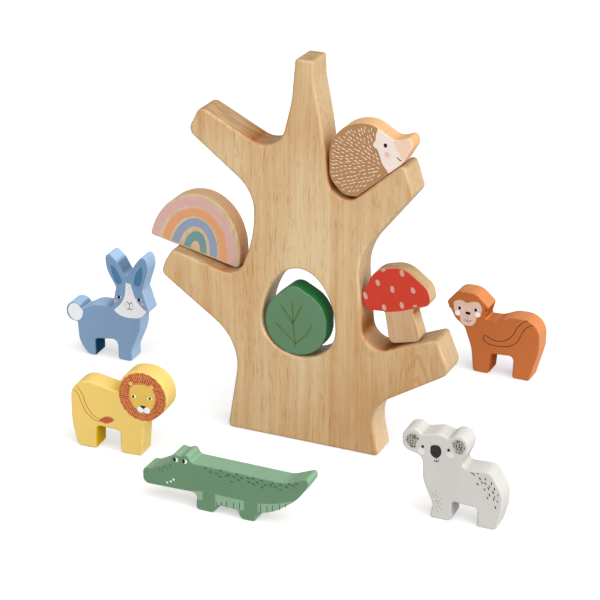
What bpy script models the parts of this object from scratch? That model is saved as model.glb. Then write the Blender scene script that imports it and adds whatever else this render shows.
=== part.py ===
"""Balancing tree game.

A thick wooden slab cut as a leafless tree, with four play pieces seated in its crooks and its hole, and five
animals standing on the floor around it. Metres, +Z up, front towards -Y, origin at the middle of the tree's foot.
"""

import math

import bmesh
import bpy
import numpy as np

# Tree
TREE_HEIGHT = 0.260
TREE_WIDTH = 0.2025
TREE_THICKNESS = 0.022
TREE_RIM = 0.0019

# Hole through the trunk, an egg with its narrow end up
HOLE_HALF_WIDTH = 0.0256
HOLE_UPPER_HEIGHT = 0.0365
HOLE_LOWER_HEIGHT = 0.0245
HOLE_LEAN_DEGREES = -2.4
HOLE_TAPER_SHARE = 0.08
HOLE_CENTRE_SHARES = (-0.015, 0.327)

# Boards that the play pieces are cut from
SEATED_THICKNESS = 0.0135
STANDING_THICKNESS = 0.015
PIECE_RIM = 0.0011

# Pieces seated in the tree
SEAT_GAP = 0.0003
SEAT_LIFT = 0.006
SEAT_STRIDE = 0.0002
HEDGEHOG_LENGTH = 0.0618
HEDGEHOG_HEIGHT = 0.0391
HEDGEHOG_TRUNK_PLAY = 0.0008
HEDGEHOG_SET_BACK = 0.0004
RAINBOW_WIDTH = 0.0654
RAINBOW_HEIGHT = 0.0403
RAINBOW_LEFT_CORNER = 0.0016
RAINBOW_RIGHT_CORNER = 0.003
RAINBOW_SET_BACK = 0.0078
RAINBOW_LEAN_DEGREES = 2.0
MUSHROOM_WIDTH = 0.0462
MUSHROOM_HEIGHT = 0.0503
MUSHROOM_THICKNESS = 0.0115
MUSHROOM_SET_BACK = 0.003
MUSHROOM_LEAN_DEGREES = -8.6
LEAF_SIDE_PLAY = 0.0041
LEAF_TOP_PLAY = 0.0133
LEAF_SHIFT = -0.0021
LEAF_SET_BACK = 0.0008

# Pieces standing on the floor: size, place of the foot's middle, and turn
RABBIT_WIDTH = 0.0652
RABBIT_HEIGHT = 0.0806
RABBIT_PLACE = (-0.1786, 0.0591)
RABBIT_TURN_DEGREES = 2.5
LION_WIDTH = 0.0686
LION_HEIGHT = 0.0601
LION_PLACE = (-0.1015, -0.0664)
LION_TURN_DEGREES = 3.8
CROCODILE_LENGTH = 0.1125
CROCODILE_HEIGHT = 0.0366
CROCODILE_PLACE = (-0.0024, -0.1141)
CROCODILE_TURN_DEGREES = 0.0
MONKEY_WIDTH = 0.069
MONKEY_HEIGHT = 0.0591
MONKEY_PLACE = (0.0787, 0.1442)
MONKEY_TURN_DEGREES = -0.5
KOALA_WIDTH = 0.065
KOALA_HEIGHT = 0.0589
KOALA_PLACE = (0.1266, -0.0641)
KOALA_TURN_DEGREES = 0.8

# How finely round things are divided
ARC_FLATNESS = 0.00006
ARC_MOST_DEGREES = 24
RIM_STEPS = 2
EGG_STEPS = 44
ARCH_STEPS = 30
CUT_OVERRUN = 0.0004
RIM_LIMIT_SHARE = 0.9
EDGE_LIMIT_SHARE = 0.98
SEAT_STRIDES = 150
SEAT_HALVINGS = 12
SEAT_SLACK_SHARE = 0.97

# Outlines, clockwise seen from the front. Each row is a corner of the straight-sided outline: how far along, as
# a share of the piece's width, how far up, as a share of its height, and its rounding, as a share of its height.
TREE_SHARES = (
    (-0.350, 0.850, 0.019), (-0.084, 0.747, 0.061), (-0.038, 0.893, 0.231), (-0.025, 1.000, 0.0085),
    (0.035, 1.000, 0.0085), (0.036, 0.954, 0.154), (0.060, 0.856, 0.308), (0.103, 0.625, 0.046),
    (0.334, 0.780, 0.012), (0.367, 0.703, 0.019), (0.185, 0.525, 0.150), (0.211, 0.270, 0.048),
    (0.455, 0.347, 0.010), (0.500, 0.260, 0.027), (0.245, 0.138, 0.085), (0.247, 0.071, 0.100),
    (0.265, 0.000, 0.009), (-0.267, 0.000, 0.012), (-0.217, 0.241, 0.138), (-0.500, 0.394, 0.019),
    (-0.486, 0.428, 0.096), (-0.457, 0.463, 0.013), (-0.227, 0.417, 0.048), (-0.168, 0.533, 0.327),
    (-0.168, 0.650, 0.108), (-0.394, 0.783, 0.025),
)
# Each branch that carries a piece: the rows of its crook and of its tip
UPPER_RIGHT_BRANCH = (7, 8)
LOWER_RIGHT_BRANCH = (11, 12)
LOWER_LEFT_BRANCH = (22, 21)

HEDGEHOG_SHARES = (
    (0.000, 0.000, 0.128), (-0.109, 0.141, 0.256), (-0.124, 0.498, 0.332), (0.285, 1.260, 0.626),
    (0.643, 0.776, 0.358), (0.731, 0.361, 0.204), (0.898, 0.259, 0.066), (0.851, 0.111, 0.089),
    (0.653, 0.000, 0.383),
)
MUSHROOM_HALF_SHARES = (
    (0.212, 1.000, 0.318), (0.500, 0.684, 0.199), (0.500, 0.472, 0.107), (0.208, 0.432, 0.030),
    (0.242, 0.000, 0.080),
)
LEAF_SHARES = (
    (-0.044, 1.034, 0.168), (0.500, 0.782, 0.440), (0.500, 0.000, 0.449), (-0.500, 0.000, 0.449),
    (-0.500, 0.681, 0.490),
)
RABBIT_SHARES = (
    (0.000, 1.018, 0.033), (0.129, 0.936, 0.175), (0.245, 0.770, 0.039), (0.341, 0.922, 0.250),
    (0.448, 1.031, 0.033), (0.501, 0.906, 0.163), (0.417, 0.690, 0.037), (0.495, 0.495, 0.028),
    (0.398, 0.430, 0.031), (0.391, 0.319, 0.375), (0.282, 0.113, 0.075), (0.281, 0.000, 0.030),
    (0.118, 0.000, 0.028), (0.113, 0.195, 0.056), (-0.149, 0.163, 0.016), (-0.152, 0.000, 0.017),
    (-0.251, 0.000, 0.094), (-0.357, 0.119, 0.225), (-0.369, 0.302, 0.017), (-0.499, 0.296, 0.082),
    (-0.499, 0.483, 0.085), (-0.346, 0.481, 0.062), (-0.293, 0.430, 0.015), (-0.147, 0.501, 0.200),
    (0.062, 0.495, 0.016), (0.113, 0.690, 0.050), (-0.003, 0.856, 0.275),
)
LION_SHARES = (
    (0.006, 0.720, 0.025), (0.006, 1.000, 0.248), (0.503, 1.000, 0.281), (0.501, 0.606, 0.235),
    (0.250, 0.358, 0.050), (0.224, 0.000, 0.040), (0.013, 0.000, 0.040), (0.007, 0.261, 0.050),
    (-0.235, 0.278, 0.044), (-0.243, 0.000, 0.025), (-0.441, 0.000, 0.084), (-0.493, 0.293, 0.670),
    (-0.494, 0.794, 0.214), (-0.279, 0.792, 0.235),
)
CROCODILE_SHARES = (
    (-0.501, 0.601, 0.107), (-0.449, 0.596, 0.164), (-0.319, 0.817, 0.033), (-0.315, 0.973, 0.066),
    (-0.265, 0.940, 0.055), (-0.224, 1.008, 0.071), (-0.198, 0.861, 0.071), (0.364, 0.852, 0.492),
    (0.498, 1.025, 0.052), (0.500, 0.888, 0.164), (0.431, 0.571, 0.820), (0.298, 0.268, 0.820),
    (0.192, 0.169, 0.027), (0.183, 0.000, 0.071), (0.100, 0.000, 0.077), (0.074, 0.158, 0.066),
    (-0.042, 0.161, 0.041), (-0.068, 0.000, 0.082), (-0.176, 0.000, 0.066), (-0.165, 0.311, 0.096),
    (-0.500, 0.287, 0.115),
)
MONKEY_SHARES = (
    (-0.506, 0.834, 0.041), (-0.380, 1.000, 0.135), (-0.200, 1.000, 0.186), (-0.052, 0.849, 0.044),
    (-0.093, 0.689, 0.030), (0.043, 0.697, 0.203), (0.196, 0.777, 0.237), (0.491, 0.778, 0.220),
    (0.493, 0.406, 0.508), (0.397, 0.000, 0.044), (0.216, 0.000, 0.030), (0.223, 0.281, 0.058),
    (-0.010, 0.261, 0.020), (-0.028, 0.000, 0.044), (-0.206, 0.000, 0.047), (-0.228, 0.288, 0.677),
    (-0.307, 0.545, 0.102), (-0.414, 0.643, 0.169), (-0.458, 0.743, 0.051),
)
KOALA_SHARES = (
    (-0.502, 0.990, 0.110), (-0.369, 0.988, 0.059), (-0.311, 0.939, 0.042), (-0.148, 0.985, 0.136),
    (-0.045, 0.949, 0.042), (0.012, 1.000, 0.068), (0.149, 1.000, 0.112), (0.145, 0.825, 0.102),
    (0.068, 0.638, 0.054), (0.377, 0.655, 0.119), (0.498, 0.416, 0.238), (0.497, 0.238, 0.306),
    (0.442, 0.000, 0.054), (0.257, 0.000, 0.027), (0.257, 0.216, 0.044), (0.005, 0.231, 0.037),
    (-0.003, 0.153, 0.170), (0.014, 0.000, 0.061), (-0.214, 0.000, 0.034), (-0.185, 0.161, 0.102),
    (-0.289, 0.418, 0.306), (-0.298, 0.689, 0.093), (-0.500, 0.747, 0.098),
)

# Colours (red, green, blue from 0 to 255) and roughness
WOOD = ((213, 180, 138), 0.55)
BROWN = ((186, 142, 102), 0.5)
PINK = ((216, 167, 172), 0.5)
GREEN = ((98, 137, 104), 0.5)
RED = ((203, 65, 50), 0.45)
BLUE = ((126, 153, 182), 0.5)
YELLOW = ((234, 202, 112), 0.5)
MOSS = ((106, 145, 112), 0.5)
ORANGE_BROWN = ((193, 108, 56), 0.5)
GREY = ((207, 204, 198), 0.5)


def clear_scene():
    """Start from an empty scene."""
    for item in list(bpy.data.objects):
        bpy.data.objects.remove(item, do_unlink=True)


def linear(value):
    """One colour channel, from 0 to 255, as the linear value that a shader takes."""
    value /= 255
    if value <= 0.04045:
        return value / 12.92
    return ((value + 0.055) / 1.055) ** 2.4


def finish(name, look):
    """A plain paint or wood finish."""
    colour, roughness = look
    material = bpy.data.materials.new(name)
    material.use_nodes = True
    shader = material.node_tree.nodes["Principled BSDF"]
    shader.inputs["Base Color"].default_value = [linear(value) for value in colour] + [1]
    shader.inputs["Roughness"].default_value = roughness
    shader.inputs["Metallic"].default_value = 0
    return material


def unit(vector):
    """The vector at length one."""
    return vector / np.linalg.norm(vector)


def turned(points, degrees):
    """Points turned anticlockwise about the origin, as seen from the front."""
    angle = math.radians(degrees)
    along = np.array([math.cos(angle), math.sin(angle)])
    up = np.array([-math.sin(angle), math.cos(angle)])
    return points[:, :1] * along + points[:, 1:] * up


def sized(shares, width, height):
    """Corners in metres: along, up, rounding."""
    return np.array(shares) * (width, height, height)


def half_angles(corners):
    """Half of the angle between the two sides that meet at each corner."""
    halves = []
    for before, here, after in zip(np.roll(corners, 1, 0), corners, np.roll(corners, -1, 0)):
        meeting = unit(before[:2] - here[:2]) @ unit(after[:2] - here[:2])
        halves.append(math.acos(max(-1, min(1, meeting))) / 2)
    return np.array(halves)


def roundings(corners):
    """Each corner's rounding, kept short enough for the sides that it runs into."""
    reach = corners[:, 2] / np.tan(half_angles(corners))
    side = np.linalg.norm(np.roll(corners, -1, 0)[:, :2] - corners[:, :2], axis=1) * EDGE_LIMIT_SHARE
    both = reach + np.roll(reach, -1)
    fit = np.minimum(1, side / both)
    return corners[:, 2] * np.minimum(fit, np.roll(fit, 1))


def outward_turns(corners):
    """True for each corner that points outwards, for corners listed clockwise."""
    into = corners[:, :2] - np.roll(corners, 1, 0)[:, :2]
    out = np.roll(corners, -1, 0)[:, :2] - corners[:, :2]
    return into[:, 0] * out[:, 1] - into[:, 1] * out[:, 0] < 0


def arc(centre, start, end, radius, inset_radius):
    """Points of an arc between two directions, the short way, spaced for the radius and drawn at the inset radius."""
    first = math.atan2(start[1], start[0])
    sweep = (math.atan2(end[1], end[0]) - first + math.pi) % math.tau - math.pi
    stride = 2 * math.acos(max(0, 1 - ARC_FLATNESS / radius))
    stride = min(stride, math.radians(ARC_MOST_DEGREES))
    steps = max(1, math.ceil(abs(sweep) / stride))
    angles = [first + sweep * step / steps for step in range(steps + 1)]
    return [centre + inset_radius * np.array([math.cos(angle), math.sin(angle)]) for angle in angles]


def rounded_ring(corners, inset=0):
    """The outline with its corners rounded, drawn inside itself by the inset."""
    ring = []
    rows = zip(corners, roundings(corners), half_angles(corners), outward_turns(corners),
               np.roll(corners, 1, 0), np.roll(corners, -1, 0))
    for corner, radius, half, outward, before, after in rows:
        back = unit(before[:2] - corner[:2])
        forth = unit(after[:2] - corner[:2])
        centre = corner[:2] + unit(back + forth) * radius / math.sin(half)
        reach = radius / math.tan(half)
        start = corner[:2] + back * reach - centre
        end = corner[:2] + forth * reach - centre
        inner = radius - inset if outward else radius + inset
        ring.extend(arc(centre, start, end, radius, inner))
    return np.array(ring)


def rim_within(corners, rim):
    """The rim, kept smaller than the sharpest outward corner."""
    sharpest = roundings(corners)[outward_turns(corners)].min()
    return min(rim, sharpest * RIM_LIMIT_SHARE)


def egg_ring(grown=0):
    """The hole's outline about its own centre, grown outwards."""
    ring = []
    for step in range(EGG_STEPS):
        angle = -math.tau * step / EGG_STEPS
        height = HOLE_UPPER_HEIGHT if math.sin(angle) > 0 else HOLE_LOWER_HEIGHT
        narrowing = 1 - HOLE_TAPER_SHARE * math.sin(angle)
        ring.append((HOLE_HALF_WIDTH * math.cos(angle) * narrowing, height * math.sin(angle)))
    ring = np.array(ring)
    run = np.roll(ring, -1, 0) - np.roll(ring, 1, 0)
    outward = np.stack([-run[:, 1], run[:, 0]], 1)
    ring = ring + grown * outward / np.linalg.norm(outward, axis=1, keepdims=True)
    return turned(ring, HOLE_LEAN_DEGREES)


def hole_centre():
    """Where the hole's centre is on the tree."""
    return np.array(HOLE_CENTRE_SHARES) * (TREE_WIDTH, TREE_HEIGHT)


def arch_corner(radius):
    """The angle on the arch's ellipse where a corner rounding of this radius starts."""
    low, high = 0, math.pi / 2
    for _ in range(SEAT_HALVINGS * 2):
        angle = (low + high) / 2
        point, outward = arch_point(angle)
        if (point - outward * radius)[1] < radius:
            low = angle
        else:
            high = angle
    return high


def arch_point(angle):
    """A point of the arch's ellipse and the direction that faces out there."""
    half = RAINBOW_WIDTH / 2
    point = np.array([half * math.cos(angle), RAINBOW_HEIGHT * math.sin(angle)])
    outward = np.array([RAINBOW_HEIGHT * math.cos(angle), half * math.sin(angle)])
    return point, unit(outward)


def arch_ring(inset=0):
    """Half an ellipse on a flat foot, clockwise from its lower left, with the foot's two corners rounded."""
    left = math.pi - arch_corner(RAINBOW_LEFT_CORNER)
    right = arch_corner(RAINBOW_RIGHT_CORNER)
    ring = []
    for step in range(ARCH_STEPS + 1):
        point, outward = arch_point(left + (right - left) * step / ARCH_STEPS)
        ring.append(point - outward * inset)
    down = np.array([0, -1])
    for angle, radius in ((right, RAINBOW_RIGHT_CORNER), (left, RAINBOW_LEFT_CORNER)):
        point, outward = arch_point(angle)
        centre = point - outward * radius
        bend = arc(centre, outward, down, radius, radius - inset)
        ring.extend(bend[1:] if angle == right else bend[:0:-1])
    return np.array(ring)


def rim_profile(thickness, rim):
    """Inset and depth of each ring, from the front face to the back one."""
    front = []
    for step in range(RIM_STEPS + 1):
        angle = math.pi / 2 * step / RIM_STEPS
        front.append((rim * (1 - math.sin(angle)), rim * (1 - math.cos(angle)) - thickness / 2))
    return front + [(inset, -depth) for inset, depth in reversed(front)]


def mesh_of_rings(name, rings, depths):
    """A closed mesh through rings of equal count, each at its own depth."""
    shape = bmesh.new()
    loops = []
    for ring, depth in zip(rings, depths):
        loops.append([shape.verts.new((along, depth, up)) for along, up in ring])
    shape.faces.new(loops[0])
    shape.faces.new(list(reversed(loops[-1])))
    for near, far in zip(loops, loops[1:]):
        for step in range(len(near)):
            shape.faces.new((near[step], near[step - 1], far[step - 1], far[step]))
    bmesh.ops.recalc_face_normals(shape, faces=shape.faces[:])
    mesh = bpy.data.meshes.new(name)
    shape.to_mesh(mesh)
    shape.free()
    return mesh


def add(name, mesh, look):
    """A named object in the scene, smooth across its small facets and sharp at its real edges."""
    mesh.shade_smooth()
    mesh.set_sharp_from_angle(angle=math.radians(35))
    mesh.materials.append(finish(name, look))
    item = bpy.data.objects.new(name, mesh)
    bpy.context.scene.collection.objects.link(item)
    return item


def slab(name, ring_at, thickness, rim, look):
    """A flat piece with rounded rims, standing upright with its middle layer at y = 0."""
    profile = rim_profile(thickness, rim)
    rings = [ring_at(inset) for inset, _ in profile]
    return add(name, mesh_of_rings(name, rings, [depth for _, depth in profile]), look)


def corner_slab(name, corners, thickness, look):
    """A slab from corners."""
    rim = rim_within(corners, PIECE_RIM)
    return slab(name, lambda inset: rounded_ring(corners, inset), thickness, rim, look)


def tree_corners():
    """The tree's corners in metres."""
    return sized(TREE_SHARES, TREE_WIDTH, TREE_HEIGHT)


def make_hole_cutter(rim):
    """A plug that flares at both faces, so that the hole's rims come out rounded."""
    profile = rim_profile(TREE_THICKNESS, rim)[1:-1]
    flare = (profile[0][0] - rim) / (profile[0][1] + TREE_THICKNESS / 2)
    past = rim - flare * CUT_OVERRUN
    depth = TREE_THICKNESS / 2 + CUT_OVERRUN
    profile = [(past, -depth)] + profile + [(past, depth)]
    centre = hole_centre()
    rings = [egg_ring(grown) + centre for grown, _ in profile]
    mesh = mesh_of_rings("hole_cutter", rings, [depth for _, depth in profile])
    cutter = bpy.data.objects.new("hole_cutter", mesh)
    bpy.context.scene.collection.objects.link(cutter)
    cutter.hide_render = True
    cutter.display_type = "WIRE"
    return cutter


def make_tree():
    """The tree, cut through by its hole."""
    corners = tree_corners()
    rim = rim_within(corners, TREE_RIM)
    tree = slab("tree", lambda inset: rounded_ring(corners, inset), TREE_THICKNESS, rim, WOOD)
    hole = tree.modifiers.new("hole", "BOOLEAN")
    hole.operation = "DIFFERENCE"
    hole.object = make_hole_cutter(rim)


def clearance(ring, wall):
    """The least distance between two closed outlines."""
    least = math.inf
    for points, line in ((ring, wall), (wall, ring)):
        run = np.roll(line, -1, 0) - line
        away = points[:, None] - line
        share = (away * run).sum(2) / (run * run).sum(1)
        share = np.clip(share, 0, 1)[:, :, None]
        least = min(least, np.linalg.norm(away - share * run, axis=2).min())
    return least


def slid(ring, wall, direction, gap):
    """How far the outline goes along the direction before it is within the gap of the wall."""
    way = unit(np.array(direction, float))
    gone = 0
    for _ in range(SEAT_STRIDES):
        if clearance(ring + way * (gone + SEAT_STRIDE), wall) < gap:
            break
        gone += SEAT_STRIDE
    low, high = gone, gone + SEAT_STRIDE
    for _ in range(SEAT_HALVINGS):
        middle = (low + high) / 2
        if clearance(ring + way * middle, wall) < gap:
            high = middle
        else:
            low = middle
    return way * low


def seated(ring, start, branch, slope, play=0):
    """Where a piece comes to rest: lowered onto its branch, then slid to the trunk and back by the play."""
    wall = rounded_ring(tree_corners())
    crook, tip = (tree_corners()[row, :2] for row in branch)
    run = unit(tip - crook)
    below = np.array([run[1], -run[0]]) * math.copysign(1, run[0])
    place = crook + (tip - crook) * start - below * SEAT_LIFT
    place = place + slid(ring + place, wall, below, SEAT_GAP)
    down_slope = turned(np.array([[-math.copysign(1, run[0]), 0]]), slope)[0]
    return place + slid(ring + place, wall, down_slope, SEAT_GAP * SEAT_SLACK_SHARE) - down_slope * play


def slope_of(branch):
    """The slope of a branch's upper side in degrees, positive where it rises to the right."""
    crook, tip = (tree_corners()[row, :2] for row in branch)
    run = (tip - crook) * math.copysign(1, (tip - crook)[0])
    return math.degrees(math.atan2(run[1], run[0]))


def set_in_tree(item, place, degrees, set_back, thickness=SEATED_THICKNESS):
    """Put a piece in the tree, its front behind the tree's front by the set back."""
    depth = (thickness - TREE_THICKNESS) / 2 + set_back
    item.location = (place[0], depth, place[1])
    item.rotation_euler = (0, -math.radians(degrees), 0)


def make_hedgehog():
    """The hedgehog, lying along the upper right branch."""
    corners = sized(HEDGEHOG_SHARES, HEDGEHOG_LENGTH, HEDGEHOG_HEIGHT)
    hedgehog = corner_slab("hedgehog", corners, SEATED_THICKNESS, BROWN)
    slope = slope_of(UPPER_RIGHT_BRANCH)
    ring = turned(rounded_ring(corners), slope)
    place = seated(ring, 0.6, UPPER_RIGHT_BRANCH, slope, HEDGEHOG_TRUNK_PLAY)
    set_in_tree(hedgehog, place, slope, HEDGEHOG_SET_BACK)


def make_rainbow():
    """The rainbow, leaning in the lower left crook."""
    rim = min(PIECE_RIM, RAINBOW_LEFT_CORNER * RIM_LIMIT_SHARE, RAINBOW_RIGHT_CORNER * RIM_LIMIT_SHARE)
    rainbow = slab("rainbow", arch_ring, SEATED_THICKNESS, rim, PINK)
    slope = slope_of(LOWER_LEFT_BRANCH) + RAINBOW_LEAN_DEGREES
    place = seated(turned(arch_ring(), slope), 1, LOWER_LEFT_BRANCH, slope)
    set_in_tree(rainbow, place, slope, RAINBOW_SET_BACK)


def make_mushroom():
    """The mushroom, leaning on the trunk above the lower right branch."""
    half = sized(MUSHROOM_HALF_SHARES, MUSHROOM_WIDTH, MUSHROOM_HEIGHT)
    corners = np.concatenate([half, half[::-1] * (-1, 1, 1)])
    mushroom = corner_slab("mushroom", corners, MUSHROOM_THICKNESS, RED)
    slope = slope_of(LOWER_RIGHT_BRANCH)
    lean = slope + MUSHROOM_LEAN_DEGREES
    place = seated(turned(rounded_ring(corners), lean), 0.72, LOWER_RIGHT_BRANCH, slope)
    set_in_tree(mushroom, place, lean, MUSHROOM_SET_BACK, MUSHROOM_THICKNESS)


def make_leaf():
    """The leaf, standing in the hole."""
    width = (HOLE_HALF_WIDTH - LEAF_SIDE_PLAY) * 2
    height = HOLE_UPPER_HEIGHT + HOLE_LOWER_HEIGHT - LEAF_TOP_PLAY
    corners = sized(LEAF_SHARES, width, height)
    leaf = corner_slab("leaf", corners, SEATED_THICKNESS, GREEN)
    wall = egg_ring() + hole_centre()
    place = np.array([hole_centre()[0] + LEAF_SHIFT, wall[:, 1].min() + LEAF_TOP_PLAY / 2])
    place = place + slid(rounded_ring(corners) + place, wall, (0, -1), SEAT_GAP)
    set_in_tree(leaf, place, 0, LEAF_SET_BACK)


def make_standing(name, shares, width, height, place, turn, look):
    """An animal standing on the floor."""
    corners = sized(shares, width, height)
    item = corner_slab(name, corners, STANDING_THICKNESS, look)
    item.location = (*place, 0)
    item.rotation_euler = (0, 0, math.radians(turn))


def main():
    """Make every piece."""
    clear_scene()
    make_tree()
    make_hedgehog()
    make_rainbow()
    make_mushroom()
    make_leaf()
    make_standing("rabbit", RABBIT_SHARES, RABBIT_WIDTH, RABBIT_HEIGHT, RABBIT_PLACE, RABBIT_TURN_DEGREES, BLUE)
    make_standing("lion", LION_SHARES, LION_WIDTH, LION_HEIGHT, LION_PLACE, LION_TURN_DEGREES, YELLOW)
    make_standing("crocodile", CROCODILE_SHARES, CROCODILE_LENGTH, CROCODILE_HEIGHT, CROCODILE_PLACE,
                  CROCODILE_TURN_DEGREES, MOSS)
    make_standing("monkey", MONKEY_SHARES, MONKEY_WIDTH, MONKEY_HEIGHT, MONKEY_PLACE, MONKEY_TURN_DEGREES,
                  ORANGE_BROWN)
    make_standing("koala", KOALA_SHARES, KOALA_WIDTH, KOALA_HEIGHT, KOALA_PLACE, KOALA_TURN_DEGREES, GREY)


main()
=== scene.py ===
"""Looks of the balancing tree game.

A thick wooden slab cut as a leafless tree, four blocks seated in it and five animals on the floor round it. Each
block is a finely divided board that stands for its solid, and what is printed on it is a thin layer of ink on top.
Metres, +Z up, front towards -Y. Places and what is printed are given in millimetres.
"""

import logging
import math
from dataclasses import dataclass, field, replace
from enum import Enum
from typing import Any, ClassVar, Iterable, Sequence

import bmesh
import bpy
import numpy as np
from mathutils import Euler, Matrix, Vector


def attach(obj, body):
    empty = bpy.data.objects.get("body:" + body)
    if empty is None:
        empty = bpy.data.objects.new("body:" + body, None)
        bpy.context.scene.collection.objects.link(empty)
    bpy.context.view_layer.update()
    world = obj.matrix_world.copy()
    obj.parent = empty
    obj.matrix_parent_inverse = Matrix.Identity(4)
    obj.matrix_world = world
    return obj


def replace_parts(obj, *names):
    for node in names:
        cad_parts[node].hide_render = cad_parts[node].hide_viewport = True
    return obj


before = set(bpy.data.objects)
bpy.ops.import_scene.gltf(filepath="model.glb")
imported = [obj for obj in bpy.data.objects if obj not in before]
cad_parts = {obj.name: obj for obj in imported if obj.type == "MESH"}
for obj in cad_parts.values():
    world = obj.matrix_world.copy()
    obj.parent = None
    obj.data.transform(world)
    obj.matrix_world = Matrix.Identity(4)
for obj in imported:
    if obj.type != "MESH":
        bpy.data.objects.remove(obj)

LOG = logging.getLogger("balancing_tree")
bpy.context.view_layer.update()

Pair = tuple[float, float]
Triple = tuple[float, float, float]
Rows = Sequence[Triple]
Points = Sequence[Pair]
Marks = Sequence[tuple[float, float, float, float, float]]
Colour = Triple
Shade = tuple[float, float, float, float]
Socket = bpy.types.NodeSocket

MM = 0.001

# How finely shapes are divided
ARC_FLATNESS = 0.000005
ARC_MOST_DEGREES = 6.0
STRAIGHT_STEP = 0.003
RIM_STEPS = 6
EGG_STEPS = 144
ARCH_STEPS = 110
STRIPE_STEPS = 97
MANE_STEPS = 264
CURVE_STEPS = 6
CORNER_TRIES = 30
SAME_POINT = 0.000001

# How much of a rim or a side a rounding may take
RIM_LIMIT_SHARE = 0.9
SIDE_LIMIT_SHARE = 0.98

# How quickly a crook counts as closed in
CROOK_GAIN = 1.6
CROOK_START = 0.3

# Ink
FIRST_LAYER = 0.00003
LAYER = 0.00003
INK_SINK = 0.0002
SKIN_DEPTH = 0.0012
CUT_SHARE = 0.9
CUT_DEPTH = SKIN_DEPTH * CUT_SHARE
TAPER_SHARE = 0.15
SECOND_SEED = 7

# Finishes: how high relief is, where the front begins, and the range that most of a noise lies in
RELIEF = 0.0004
FACE = (0.1, 0.8)
USUAL = (0.3, 0.7)
PLAIN = (1.0, 1.0, 1.0, 1.0)


# Shapes


def unit(vectors: np.ndarray) -> np.ndarray:
    """Each vector at length one."""
    return vectors / np.linalg.norm(vectors, axis=-1, keepdims=True)


def turned(points: np.ndarray, degrees: float) -> np.ndarray:
    """Points turned anticlockwise about the origin, seen from the front."""
    c, s = math.cos(math.radians(degrees)), math.sin(math.radians(degrees))
    return points @ np.array([[c, s], [-s, c]])


@dataclass(frozen=True)
class Outline:
    """A closed outline, clockwise seen from the front, and the direction that faces out at each point."""

    points: np.ndarray
    outward: np.ndarray

    def filled(self) -> "Outline":
        """The same outline with more points along its straight stretches.

        Returns:
            The fuller outline.
        """
        points, outward = [], []
        ends = zip(self.points, np.roll(self.points, -1, 0), self.outward, np.roll(self.outward, -1, 0))
        for here, there, way, next_way in ends:
            parts = max(1, round(float(np.linalg.norm(there - here)) / STRAIGHT_STEP))
            for share in np.arange(parts) / parts:
                points.append(here + (there - here) * share)
                outward.append(way + (next_way - way) * share)
        return Outline(np.array(points), unit(np.array(outward)))

    def closed_in(self, reaches: tuple[float, ...]) -> np.ndarray:
        """How far each point has the board's own arms round it.

        Args:
            reaches: The distances ahead of the point at which arms are looked for.

        Returns:
            From 0 in the open to 1 deep in a crook, for each point.
        """
        shares = []
        for reach in reaches:
            ahead = self.points + self.outward * reach
            shares.append(np.linalg.norm(ahead[:, None] - self.points[None], axis=2).min(1) / reach)
        return np.clip((1 - np.min(shares, 0)) * CROOK_GAIN - CROOK_START, 0, 1)

    def inset(self, by: float) -> np.ndarray:
        """The outline drawn inside itself."""
        return self.points - self.outward * by


def rounded(rows: Rows, width: float, height: float) -> tuple[Outline, float]:
    """An outline from corners with their roundings.

    Args:
        rows: Each corner's place along and up and its rounding, as shares.
        width: What a share of one is along.
        height: What a share of one is up, and for a rounding.

    Returns:
        The outline, and the radius of its sharpest outward corner.
    """
    corners = np.array(rows) * (width, height, height)
    middle = corners[:, :2]
    side = np.roll(middle, -1, 0) - middle
    after = unit(side)
    before = -np.roll(after, 1, 0)
    half = np.arccos(np.clip((before * after).sum(1), -1, 1)) / 2
    reach = corners[:, 2] / np.tan(half)
    fit = np.minimum(1, np.linalg.norm(side, axis=1) * SIDE_LIMIT_SHARE / (reach + np.roll(reach, -1)))
    radii = corners[:, 2] * np.minimum(fit, np.roll(fit, 1))
    points, outward, sharpest = [], [], math.inf
    for corner, back, forth, angle, radius in zip(middle, before, after, half, radii):
        bulges = back[1] * forth[0] - back[0] * forth[1] < 0
        if bulges:
            sharpest = min(sharpest, radius)
        centre = corner + unit(back + forth) * radius / math.sin(angle)
        start, end = ((corner + way * radius / math.tan(angle) - centre) for way in (back, forth))
        for way in arc(start, end, radius):
            points.append(centre + radius * way)
            outward.append(way if bulges else -way)
    return Outline(np.array(points), np.array(outward)).filled(), sharpest


def arc(start: np.ndarray, end: np.ndarray, radius: float) -> list[np.ndarray]:
    """Directions from one to another, the short way, close enough together for the radius.

    Args:
        start: The first direction.
        end: The last one.
        radius: The arc's radius.

    Returns:
        The directions, each of length one.
    """
    first = math.atan2(start[1], start[0])
    sweep = (math.atan2(end[1], end[0]) - first + math.pi) % math.tau - math.pi
    stride = min(2 * math.acos(max(0.0, 1 - ARC_FLATNESS / radius)), math.radians(ARC_MOST_DEGREES))
    steps = max(1, math.ceil(abs(sweep) / stride))
    angles = [first + sweep * step / steps for step in range(steps + 1)]
    return [np.array([math.cos(angle), math.sin(angle)]) for angle in angles]


def smooth_path(points: Points, closed: bool) -> np.ndarray:
    """A smooth curve through points, by the Catmull-Rom rule.

    Args:
        points: The points, in millimetres.
        closed: Whether the curve comes back to the first one.

    Returns:
        The curve's points, in metres.
    """
    given = np.array(points, float) * MM
    count = len(given)
    if count < 3:
        return given
    made = []
    for step in range(count if closed else count - 1):
        near = [step - 1, step, step + 1, step + 2]
        a, b, c, d = (given[k % count if closed else min(max(k, 0), count - 1)] for k in near)
        for part in range(CURVE_STEPS):
            t = part / CURVE_STEPS
            made.append(0.5 * (2 * b + (c - a) * t + (2 * a - 5 * b + 4 * c - d) * t * t
                               + (3 * b - a - 3 * c + d) * t ** 3))
    if not closed:
        made.append(given[-1])
    return np.array(made)


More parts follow.
